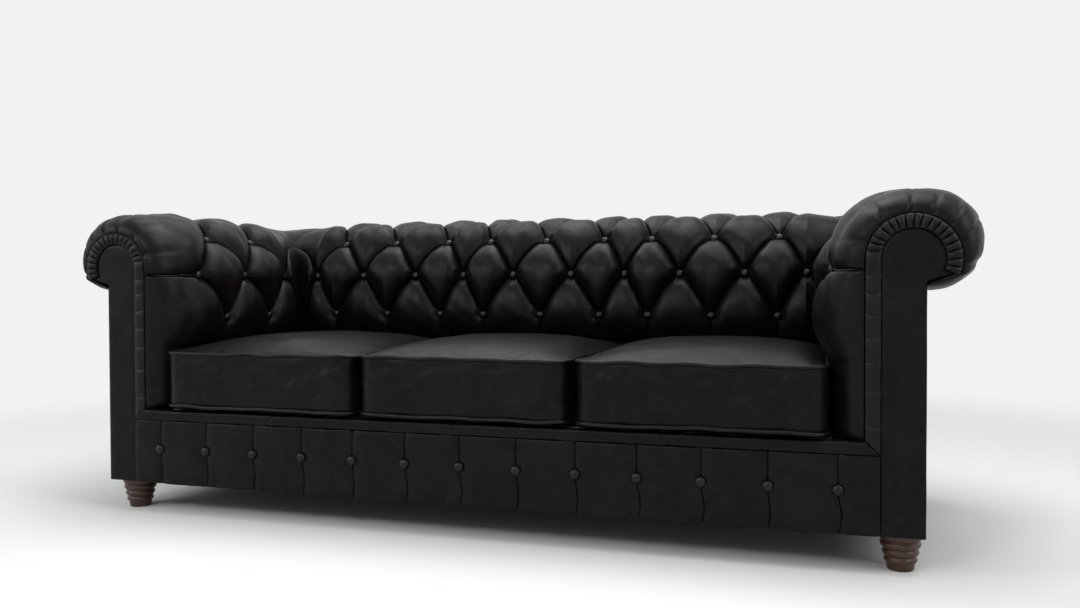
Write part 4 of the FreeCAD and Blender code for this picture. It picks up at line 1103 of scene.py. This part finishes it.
@dataclass
class FrontRail:
    """Buttoned border and padded lip before the front rail."""

    wall: Wall
    half: float = 914.2
    low: float = 78.0
    high: float = 240.0
    deck: float = 268.0
    pitch: float = 138.8
    per_side: int = 6
    button_z: float = 168.0
    button_sink: float = 5.0
    proud: float = 12.0
    fold: float = 10.0
    rear: float = 7.9
    wander: float = 7.0
    rim: float = 5.0
    dimple: float = 2.5
    dimple_width: float = 16.0
    swell_power: float = 0.3
    rim_power: float = 0.35
    end_swell: float = 0.75
    slack: float = 0.8
    slack_wave: float = 70.0
    seams: tuple[float, ...] = (-505.0, -16.0, 478.0)
    seam_depth: float = 1.4
    seam_width: float = 3.2
    lip_length: float = 900.0
    lip_deep: float = 18.0
    lip_tall: float = 14.0
    lip_proud: float = 8.0
    lip_slack: float = 0.35
    clearance: float = 0.2
    mitre: float = 30 / 28

    def border(self) -> tuple[bpy.types.Object, np.ndarray]:
        """Padded strip with one pleat above and one below each button.

        Between two pleats the leather swells like a root of the sine of the way to the next one. The
        pleat wanders sideways under its button like a sine. Rims turn in like a root of a sine.

        Returns:
            The object and the places of the buttons.
        """
        places = self.pitch * np.arange(-self.per_side, self.per_side + 1)
        edges = np.array([-self.half, *places, self.half])
        x = between(edges, 40)
        z = self.low + (self.high - self.low) * spaced(46)
        down = np.clip((self.button_z - z) / (self.button_z - self.low), 0, 1)
        index = np.clip(np.searchsorted(edges, x, side="right") - 1, 0, len(edges) - 2)
        way = (x - edges[index]) / (edges[index + 1] - edges[index])
        wander = np.random.default_rng(51).uniform(0.6, 1.3, len(edges)) * self.wander
        wander[0] = wander[-1] = 0.0
        bend = wander[index] * (1 - way) + wander[index + 1] * way
        shifted = x[:, None] + bend[:, None] * (np.sin(math.pi * down * 0.9) * np.sin(down * 2.2))[None, :]
        swell = np.abs(np.sin(math.pi * way)) ** self.swell_power
        ends = np.where((x < edges[1]) | (x > edges[-2]), self.end_swell, 1.0)
        rim = np.abs(np.sin(math.pi * (z - self.low) / (self.high - self.low))) ** self.rim_power
        near = np.min(np.abs(x[:, None] - places), axis=1)[:, None]
        far = near ** 2 + (z - self.button_z)[None, :] ** 2
        dimple = self.dimple * np.exp(-far / self.dimple_width ** 2)
        slack = self.slack * ripple(x[:, None], z[None, :], self.slack_wave, 52) * swell[:, None]
        deep = self.fold * (1 - swell * ends)[:, None] + self.rim * (1 - rim)[None, :] + dimple - slack
        y = self.wall.front - self.proud + deep
        height = np.broadcast_to(z[None, :], shifted.shape)
        face = np.stack([shifted, y, height], axis=-1)
        rear = np.stack(np.broadcast_arrays(x[:, None], self.wall.front + self.rear, height), axis=-1)
        return shell("front_border_leather", face, rear), places

    def lip(self) -> bpy.types.Object:
        """Padded lip: a rounded bar along the seat, mitred to the bands, with three cross seams.

        The section is a rounded oblong: sine and cosine to a power under one, with their signs. Each
        seam draws it in by a narrow bell curve.

        Returns:
            The object.
        """
        turn = np.linspace(0, 2 * math.pi, 44, endpoint=False)
        wide, tall = (np.sign(v) * np.abs(v) ** 0.42 for v in (np.cos(turn), np.sin(turn)))
        marks = np.array([-1.0, *[seam / self.lip_length for seam in self.seams], 1.0])
        run = between(marks, 60)[:, None]
        draw = sum(np.exp(-((run - mark) * self.lip_length / self.seam_width) ** 2) for mark in marks[1:-1])
        slack = self.lip_slack * ripple(run * self.lip_length, turn[None, :] * self.lip_deep, 55, 61)
        middle = (self.deck + self.high) / 2 - self.clearance
        z = middle + (self.lip_tall - self.seam_depth * draw + slack) * tall
        y = self.wall.front - self.lip_proud + self.lip_deep
        y = y + (self.lip_deep - self.seam_depth * draw + slack) * wide
        reach = self.half - self.clearance - (z - self.high) * self.mitre
        return tube("seat_lip_leather", np.stack([run * reach, y, z], axis=-1))

    def build(self, finishes: Finishes) -> None:
        """Makes border, its buttons and the lip in place of their nodes.

        Args:
            finishes: gives the pieces their finish and their body.
        """
        border, places = self.border()
        depth = self.wall.front - self.proud + self.button_sink
        seats = np.stack(np.broadcast_arrays(places, depth, self.button_z), axis=1)
        ways = np.tile([0.0, -1.0, 0.0], (len(places), 1))
        dots = CoveredButton(radius=12.0).place("front_border_leather_buttons", seats, ways, sink=0.5)
        finishes.dress(border, Slot.body_leather, FRAME_BODY, "front_border", fill=0.9)
        finishes.dress(self.lip(), Slot.body_leather, FRAME_BODY, "seat_lip", fill=0.9)
        finishes.dress(dots, Slot.button_leather, FRAME_BODY, "front_border_buttons")
        log.info("front rail")


@dataclass
class OutsidePanel:
    """Leather stretched over board outside an arm or the back."""

    name: str
    node: str
    low: tuple[float, float]
    high: tuple[float, float]
    plane: float
    facing: tuple[float, float, float]
    seed: int
    wrap: float = -2000.0
    proud: float = 0.5
    crown: float = 2.2
    slack: float = 0.7
    slack_wave: float = 190.0
    over_board: float = 0.05
    rear: float = -2.9

    def build(self, finishes: Finishes) -> None:
        """Makes the panel: flat but for a shallow crown and slight slack, turned in at its edges.

        The crown is a low power of the sine of pi times the way across and of that up. Before the place
        called wrap the leather lies over the edge of the facing board.

        Args:
            finishes: gives the pieces their finish and their body.
        """
        over, high = spaced(90), spaced(50)
        across = self.low[0] + (self.high[0] - self.low[0]) * over
        up = self.low[1] + (self.high[1] - self.low[1]) * high
        rim = (np.sin(math.pi * over)[:, None] * np.sin(math.pi * high)[None, :]) ** 0.18
        slack = self.slack * ripple(across[:, None], up[None, :], self.slack_wave, self.seed)
        lift = rim * (self.crown + slack)
        out = np.array(self.facing)
        side = np.array([abs(out[1]), abs(out[0]), 0.0])
        upwards = np.array([0.0, 0.0, 1.0])
        grid = across[:, None, None] * side + up[None, :, None] * upwards + self.plane * out
        behind = np.where(across < self.wrap, self.over_board, self.rear)[:, None, None] * out
        piece = shell(self.name, grid + (self.proud + lift[..., None]) * out, grid + behind)
        finishes.dress(piece, Slot.body_leather, FRAME_BODY, self.node, fill=1.0)
        log.info("panel %s", self.name)


@dataclass
class Cushion:
    """Loose box cushion: inflated leather panels between two piped seams."""

    word: str
    low_x: float
    high_x: float
    low_y: float = -465.5
    high_y: float = 167.5
    bottom: float = 268.6
    low_seam: float = 281.0
    top_seam: float = 417.0
    crown: float = 36.0
    corner: float = 46.0
    corner_share: float = 0.3
    draw: float = 7.0
    voxel: float = 6.5
    seam_reach: tuple[float, float] = (14.0, 5.0)
    swell_cap: float = 8.0
    frames: int = 20
    welt: float = 4.6
    bulge: tuple[float, float, float] = (2.5, 6.0, 2.0)
    seam_fade: float = 40.0
    face_fade: float = 18.0
    top_slack: tuple[tuple[float, ...], ...] = ((0.8, 130.0, 1.0), (0.8, 38.0, 0.45))
    face_slack: tuple[tuple[float, ...], ...] = ((1.4, 60.0, 0.5, 1.2), (0.7, 24.0, 1.0, 1.0))

    def outline(self, count: int, inset: float, draw: float) -> np.ndarray:
        """Rounded oblong that is drawn in between its corners.

        Each side lies draw times one less the square of the way off its middle inside a straight line,
        and a quarter circle joins two sides.

        Args:
            count: points for each side.
            inset: distance inside the cushion's outline.
            draw: how far the sides pull in.

        Returns:
            Array of points and xy.
        """
        centre = np.array([(self.low_x + self.high_x) / 2, (self.low_y + self.high_y) / 2])
        half = np.array([self.high_x, self.high_y]) - centre - inset
        radius = self.corner - inset * self.corner_share
        way = np.linspace(-1, 1, count)
        pull = draw * (1 - way ** 2)
        bend = np.linspace(0, math.pi / 2, 9)[1:-1]
        parts = []
        # Each side with its next corner looks like the front one, turned about the middle
        for ahead, out in (((1, 0), (0, -1)), ((0, 1), (1, 0)), ((-1, 0), (0, 1)), ((0, -1), (-1, 0))):
            ahead, out = np.array(ahead), np.array(out)
            along, off = np.abs(ahead) @ half, np.abs(out) @ half
            corner = centre + ahead * (along - radius) + out * (off - radius)
            parts.append(centre + np.outer(way * (along - radius), ahead) + np.outer(off - pull, out))
            parts.append(corner + radius * (np.outer(np.sin(bend), ahead) + np.outer(np.cos(bend), out)))
        return np.concatenate(parts)

    def blank(self) -> bpy.types.Object:
        """Cushion before it is inflated: rings from the middle of the underside to the middle of the top.

        The top is crowned by one less a power of the way off the middle, in both directions.

        Returns:
            The object.
        """
        levels = [(share, self.bottom) for share in (0.98, 0.8, 0.5)]
        levels += [(0.2, self.bottom + 2), (0.06, self.low_seam - 4), (0.0, self.low_seam)]
        levels += [(0.0, z) for z in np.linspace(self.low_seam, self.top_seam, 8)[1:]]
        levels += [(share, self.top_seam) for share in (0.04, 0.1, 0.16, 0.24, 0.34, 0.46, 0.6, 0.78, 0.98)]
        rings = []
        centre = np.array([(self.low_x + self.high_x) / 2, (self.low_y + self.high_y) / 2])
        edge = self.outline(26, self.welt * 0.4, self.draw)
        for share, height in levels:
            flat = centre + (edge - centre) * (1 - share)
            off = np.abs((flat - centre) / (np.array([self.high_x, self.high_y]) - centre))
            pillow = np.prod(1 - off ** 3.4, axis=1).clip(0, 1) ** 0.8
            crown = self.crown if share and height == self.top_seam else 0.0
            rings.append(np.stack([*flat.T, height + crown * pillow], axis=1))
        return tube(self.word + "_cushion_leather", np.stack(rings))

    def inflate(self, piece: bpy.types.Object) -> None:
        """Cloth under pressure swells each panel while the seams hold it, and the move is capped.

        Args:
            piece: the cushion's blank, which gets its final shape.
        """
        bpy.context.view_layer.objects.active = piece
        piece.select_set(True)
        remesh = piece.modifiers.new("even", "REMESH")
        remesh.mode, remesh.voxel_size = "VOXEL", self.voxel * MM
        bpy.ops.object.modifier_apply(modifier=remesh.name)
        mesh = piece.data
        start = np.empty(len(mesh.vertices) * 3)
        mesh.vertices.foreach_get("co", start)
        start = start.reshape(-1, 3)
        x, y, z = start.T / MM
        edge = self.outline(26, 0.0, self.draw)
        gap = np.min([np.hypot(x - edge_x, y - edge_y) for edge_x, edge_y in edge], axis=0)
        near, level = self.seam_reach
        at_seam = (gap < near) & (np.minimum(np.abs(z - self.low_seam), np.abs(z - self.top_seam)) < level)
        under = z < self.bottom + 4
        held = piece.vertex_groups.new(name="seams")
        held.add(np.nonzero(at_seam | under)[0].tolist(), 1.0, "REPLACE")
        cloth = piece.modifiers.new("pressure", "CLOTH")
        cloth.settings.use_pressure = True
        cloth.settings.uniform_pressure_force = 4.0
        cloth.settings.effector_weights.gravity = 0.0
        cloth.settings.vertex_group_mass = held.name
        cloth.settings.quality = 4
        cloth.settings.mass = 0.4
        cloth.settings.tension_stiffness = cloth.settings.compression_stiffness = 18
        cloth.settings.bending_stiffness = 0.6
        scene = bpy.context.scene
        for number in range(self.frames):
            scene.frame_set(number + 1)
        bpy.ops.object.modifier_apply(modifier=cloth.name)
        scene.frame_set(1)
        moved = np.empty_like(start).reshape(-1)
        mesh.vertices.foreach_get("co", moved)
        step = moved.reshape(-1, 3) - start
        size = np.linalg.norm(step, axis=1, keepdims=True)
        step *= np.minimum(1.0, self.swell_cap * MM / np.maximum(size, 1e-9))
        start = start + step
        mesh.vertices.foreach_set("co", self.worked(start).reshape(-1))
        mesh.update()
        piece.vertex_groups.clear()

    def worked(self, points: np.ndarray) -> np.ndarray:
        """Adds wrinkles beside the seams and keeps the cushion inside its own space.

        Seeded waves of two lengths lift the top and dent the front; the shorter ones of the top fade
        with the square of the distance from the seams.

        Args:
            points: vertices in metres.

        Returns:
            Vertices in metres.
        """
        x, y, z = points.T / MM
        top = ease(z, self.top_seam, self.top_seam + 12)
        side = ease(z, self.low_seam + 4, self.low_seam + 22)
        side = side * (1 - ease(z, self.top_seam - 22, self.top_seam - 4))
        edge = np.min([x - self.low_x, self.high_x - x, y - self.low_y, self.high_y - y], axis=0)
        seed = len(self.word)
        beside = np.exp(-(edge / self.seam_fade) ** 2)
        lifts = [lift * ripple(x, y * stretch, wave, seed + turn)
                 for turn, (lift, wave, stretch) in enumerate(self.top_slack)]
        z = z + top * (lifts[0] + lifts[1] * beside)
        face = side * np.exp(-((y - self.low_y) / self.face_fade) ** 2)
        dents = [lift * ripple(x * stretch, z * squeeze, wave, seed + 2 + turn)
                 for turn, (lift, wave, stretch, squeeze) in enumerate(self.face_slack)]
        y = y + face * (dents[0] + dents[1])
        z = np.where(points[:, 2] / MM < self.low_seam, np.maximum(z, self.bottom), z)
        aside, before, behind = self.bulge
        x = np.clip(x, self.low_x - aside, self.high_x + aside)
        y = np.clip(y, self.low_y - before, self.high_y + behind)
        return np.stack([x, y, z], axis=1) * MM

    def welts(self) -> bpy.types.Object:
        """Piping round both seams: a ring of small circles along the outline, a little wavy.

        Returns:
            The object.
        """
        path = self.outline(40, 1.0, self.draw)
        parts, faces, start = [], [], 0
        turn = np.linspace(0, 2 * math.pi, 10, endpoint=False)
        for height, seed in ((self.low_seam, 71), (self.top_seam, 72)):
            ahead = np.roll(path, -1, axis=0) - np.roll(path, 1, axis=0)
            ahead /= np.linalg.norm(ahead, axis=1, keepdims=True)
            out = np.stack([ahead[:, 1], -ahead[:, 0]], axis=1)
            level = height + 1.6 * ripple(path[:, 0], path[:, 1], 120, seed + len(self.word))
            flat = path[:, None] + out[:, None] * self.welt * np.cos(turn)[None, :, None]
            ring = np.concatenate([flat, (level[:, None] + self.welt * np.sin(turn))[..., None]], axis=-1)
            parts.append(ring.reshape(-1, 3))
            faces.append(quads(len(path), len(turn), True, start, around=True))
            start += len(path) * len(turn)
        name = self.word + "_cushion_piping"
        return finish_mesh(name, np.concatenate(parts), np.concatenate(faces).tolist())

    def build(self, finishes: Finishes) -> None:
        """Makes leather and piping in place of the cushion's cover.

        Args:
            finishes: gives the pieces their finish and their body.
        """
        body = self.word + "_cushion"
        piece = self.blank()
        self.inflate(piece)
        piece.data.polygons.foreach_set("use_smooth", np.ones(len(piece.data.polygons), dtype=bool))
        finishes.dress(piece, Slot.body_leather, body, body + "_cover", body + "_core", fill=0.8)
        finishes.dress(self.welts(), Slot.trim_leather, body)
        log.info("%s cushion: %d points", self.word, len(piece.data.vertices))


@dataclass
class StretchedCloth:
    """Thin cloth stapled round its edges, with a slight sag and drag lines."""

    name: str
    node: str
    low: tuple[float, float]
    high: tuple[float, float]
    top: float
    sag: float
    rests_on: tuple[str, ...]
    seed: int
    thickness: float = 1.4

    def build(self, finishes: Finishes) -> None:
        """Makes the cloth: it sags like the product of one less the squares of both ways off the middle.

        Args:
            finishes: gives the pieces their finish and their body.
        """
        x = np.linspace(self.low[0], self.high[0], 140)[:, None]
        y = np.linspace(self.low[1], self.high[1], 50)[None, :]
        off = [(2 * v - v.min() - v.max()) / (v.max() - v.min()) for v in (x, y)]
        inside = (1 - off[0] ** 2) * (1 - off[1] ** 2)
        z = self.top - inside * (self.sag + (0.1 + self.sag / 4) * ripple(x, y * 0.6, 160, self.seed))
        x, y, z = np.broadcast_arrays(x, y, z)
        piece = shell(self.name, np.stack([x, y, z], axis=-1), np.stack([x, y, z - self.thickness], axis=-1))
        finishes.dress(piece, Slot.black_cloth, FRAME_BODY, self.node)
        log.info("cloth %s", self.name)


@dataclass
class TurnedFeet:
    """Four feet turned from dark stained beech, with ring beads under a collar."""

    aside: float = 955.0
    front: float = -385.5
    back: float = 292.5
    height: float = 78.0
    toe: float = 26.5
    flare: float = 15.5
    collar: float = 2.6
    round_off: float = 1.5
    beads: tuple[tuple[float, ...], ...] = ((0.27, 0.075, 3.4), (0.47, 0.08, 3.8), (0.68, 0.085, 4.2))

    def profile(self) -> np.ndarray:
        """Radius and height of the turning: a taper, three half round beads and a collar.

        Returns:
            Array of points with radius and height.
        """
        z = np.linspace(0, 1, 90)
        radius = self.toe + self.flare * z ** 1.25
        for centre, width, swell in self.beads:
            radius = radius + swell * np.sqrt(np.maximum(1 - ((z - centre) / width) ** 2, 0))
        radius = radius + self.collar * ease(z, 0.8, 0.83) - self.round_off * ease(-z, -0.03, 0.0)
        rings = np.stack([radius, z * self.height], axis=1)
        return np.concatenate([[[0.0, 0.0]], rings, [[0.0, self.height]]])

    def build(self, finishes: Finishes) -> None:
        """Makes all four feet in place of their node.

        Args:
            finishes: gives the pieces their finish and their body.
        """
        turn = np.linspace(0, 2 * math.pi, 56, endpoint=False)
        shape = self.profile()
        parts, faces = [], []
        centres = [(x, y) for y in (self.front, self.back) for x in (-self.aside, self.aside)]
        for index, (x, y) in enumerate(centres):
            ring = np.stack([x + shape[:, :1] * np.cos(turn), y + shape[:, :1] * np.sin(turn),
                             shape[:, 1:] + 0 * turn], axis=-1)
            parts.append(ring.reshape(-1, 3))
            faces.append(quads(len(shape), len(turn), True, index * len(shape) * len(turn)))
        piece = finish_mesh("turned_beech_feet", np.concatenate(parts), np.concatenate(faces).tolist())
        finishes.dress(piece, Slot.foot_wood, FRAME_BODY, "turned_feet")
        log.info("feet")


@dataclass
class Construction:
    """Nodes of the frame that keep their own form and get a finish."""

    def build(self, finishes: Finishes) -> None:
        """Gives every carried over node the finish of its slot.

        Args:
            finishes: gives the pieces their finish and their body.
        """
        for part in frame["record"]["subparts"]:
            node = frame["nodes"][part["node"]]
            which = Slot[part["material_slot"]]
            for index in range(max(1, len(node.material_slots))):
                if node.material_slots:
                    node.material_slots[index].material = finishes.get(which)
                else:
                    node.data.materials.append(finishes.get(which))
        log.info("construction dressed")


@dataclass
class Studio:
    """Pale floor, soft lamps and the camera."""

    backdrop: str = "#f1f3f1"
    paper: str = "#eceeec"
    floor_half: float = 30.0
    fade: tuple[float, float] = (1.5, 3.6)
    lens: float = 31.4
    sensor: float = 36.0
    eye: tuple[float, float, float] = (0.8534, -2.4468, 0.5863)
    yaw: float = -0.317
    pitch: float = -0.020
    roll: float = -0.004

    def looked_at(self, tree: bpy.types.NodeTree) -> bpy.types.NodeSocket:
        """1 for camera, glossy and transmission rays, else 0.

        Args:
            tree: node tree of the floor or the world.

        Returns:
            The output socket.
        """
        ray = add(tree, "ShaderNodeLightPath").outputs
        seen = ray["Is Camera Ray"]
        for kind in ("Is Glossy Ray", "Is Transmission Ray"):
            seen = add(tree, "ShaderNodeMath", {0: seen, 1: ray[kind]}, operation="MAXIMUM").outputs[0]
        return seen

    def floor(self) -> None:
        """Plain pale floor that keeps the shadow and turns to the backdrop's colour farther out."""
        mesh = bpy.data.meshes.new("studio_floor")
        size = self.floor_half
        mesh.from_pydata([(-size, -size, 0), (size, -size, 0), (size, size, 0), (-size, size, 0)], [],
                         [(0, 1, 2, 3)])
        floor = bpy.data.objects.new("studio_floor", mesh)
        bpy.context.scene.collection.objects.link(floor)
        material, tree, place = blank("studio paper")
        shader = add(tree, "ShaderNodeBsdfPrincipled", {
            "Base Color": linear(self.paper), "Roughness": 0.9, "Specular IOR Level": 0.1})
        far = add(tree, "ShaderNodeVectorMath", {0: place}, operation="LENGTH")
        fade = add(tree, "ShaderNodeMapRange", {
            "Value": far.outputs["Value"], "From Min": self.fade[0], "From Max": self.fade[1],
        }, interpolation_type="SMOOTHERSTEP")
        share = add(tree, "ShaderNodeMath", {0: fade.outputs["Result"], 1: self.looked_at(tree)},
                    operation="MULTIPLY")
        paper = add(tree, "ShaderNodeEmission", {"Color": linear(self.backdrop), "Strength": 1.0})
        both = add(tree, "ShaderNodeMixShader", {
            0: share.outputs[0], 1: shader.outputs["BSDF"], 2: paper.outputs[0]})
        add(tree, "ShaderNodeOutputMaterial", {"Surface": both.outputs[0]})
        mesh.materials.append(material)

    def world(self) -> None:
        """Even pale surroundings: camera and reflections see the backdrop, and the fill is softer."""
        world = bpy.data.worlds.new("studio")
        bpy.context.scene.world = world
        world.use_nodes = True
        tree = world.node_tree
        tree.nodes.clear()
        fill = add(tree, "ShaderNodeBackground", {"Color": linear("#ffffff"), "Strength": 0.3})
        view = add(tree, "ShaderNodeBackground", {"Color": linear(self.backdrop), "Strength": 1.0})
        both = add(tree, "ShaderNodeMixShader", {
            0: self.looked_at(tree), 1: fill.outputs[0], 2: view.outputs[0]})
        add(tree, "ShaderNodeOutputWorld", {"Surface": both.outputs[0]})

    def lamp(self, name: str, place: tuple, aim: tuple, size: tuple, watts: float) -> None:
        """Area lamp.

        Args:
            name: name of the lamp.
            place: where it hangs, in metres.
            aim: the point it faces.
            size: its width and height.
            watts: its power.
        """
        light = bpy.data.lights.new(name, "AREA")
        light.shape, light.size, light.size_y, light.energy = "RECTANGLE", size[0], size[1], watts
        lamp = bpy.data.objects.new(name, light)
        lamp.location = place
        lamp.rotation_euler = (Vector(aim) - Vector(place)).to_track_quat("-Z", "Y").to_euler()
        bpy.context.scene.collection.objects.link(lamp)

    def camera(self) -> None:
        """Camera at the photograph's viewing angle: low, from the right, looking to the left."""
        data = bpy.data.cameras.new("camera")
        data.lens, data.sensor_width, data.sensor_fit = self.lens, self.sensor, "HORIZONTAL"
        camera = bpy.data.objects.new("camera", data)
        yaw, pitch, roll = self.yaw, self.pitch, self.roll
        ahead = Vector((math.sin(yaw) * math.cos(pitch), math.cos(yaw) * math.cos(pitch), math.sin(pitch)))
        right = ahead.cross(Vector((0, 0, 1))).normalized()
        up = right.cross(ahead)
        right, up = right * math.cos(roll) + up * math.sin(roll), up * math.cos(roll) - right * math.sin(roll)
        turn = Matrix((right, up, -ahead)).transposed()
        camera.matrix_world = Matrix.Translation(self.eye) @ turn.to_4x4()
        bpy.context.scene.collection.objects.link(camera)
        bpy.context.scene.camera = camera

    def build(self) -> None:
        """Sets up the whole studio."""
        bpy.context.scene.view_settings.view_transform = "Standard"
        self.floor()
        self.world()
        self.lamp("overhead", (0.2, 0.3, 3.4), (0.0, 0.0, 0.4), (4.4, 2.2), 110)
        self.lamp("left_window", (-3.4, -2.6, 2.4), (-0.2, 0.0, 0.4), (2.0, 2.0), 48)
        self.lamp("right_window", (3.6, -1.2, 2.3), (0.4, 0.0, 0.4), (1.6, 2.0), 40)
        self.lamp("front_softbox", (-0.9, -3.6, 2.5), (-0.1, 0.1, 0.5), (1.1, 0.8), 30)
        self.camera()
        log.info("studio")


def main() -> None:
    """Builds every sub-assembly in order."""
    logging.basicConfig(level=logging.INFO, format="%(name)s: %(message)s")
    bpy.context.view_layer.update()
    finishes = Finishes()
    wall, scroll = Wall(), Scroll()
    tufting = Tufting(wall)
    fine = Tufting(wall, rows=(8, 36, 40, 40, 60, 26))
    Construction().build(finishes)
    Back(tufting).build(finishes)
    for side in (-1, 1):
        Arm(fine, scroll, side).build(finishes)
        ArmFront(wall, scroll, side).build(finishes)
        word = side_word(side)
        OutsidePanel(word + "_outside_leather", word + "_outside_panel",
                     low=(-430.4, 78.2), high=(352.4, 640.0), plane=1000.0,
                     facing=(float(side), 0.0, 0.0), seed=81 + side, wrap=-412.0).build(finishes)
    OutsidePanel("outside_back_leather", "outside_back_panel", low=(-999.8, 78.2), high=(999.8, 640.0),
                 plane=352.5, facing=(0.0, 1.0, 0.0), seed=84).build(finishes)
    FrontRail(wall).build(finishes)
    for word, low, high in (("left", -815.0, -274.0), ("centre", -262.0, 262.0), ("right", 274.0, 815.0)):
        Cushion(word, low, high).build(finishes)
    StretchedCloth("seat_deck_lining", "seat_deck_cloth", low=(-819.6, -417.2), high=(819.6, 172.1),
                   top=268.0, sag=0.4, rests_on=("seat_deck_pad",), seed=91).build(finishes)
    rails = tuple(place + "_seat_rail" for place in ("front", "rear", "left", "right"))
    StretchedCloth("underside_lining", "dust_cover", low=(-996.8, -430.0), high=(996.8, 349.4),
                   top=79.4, sag=4.0, rests_on=rails, seed=92).build(finishes)
    TurnedFeet().build(finishes)
    Studio().build()


if __name__ == "__main__":
    main()
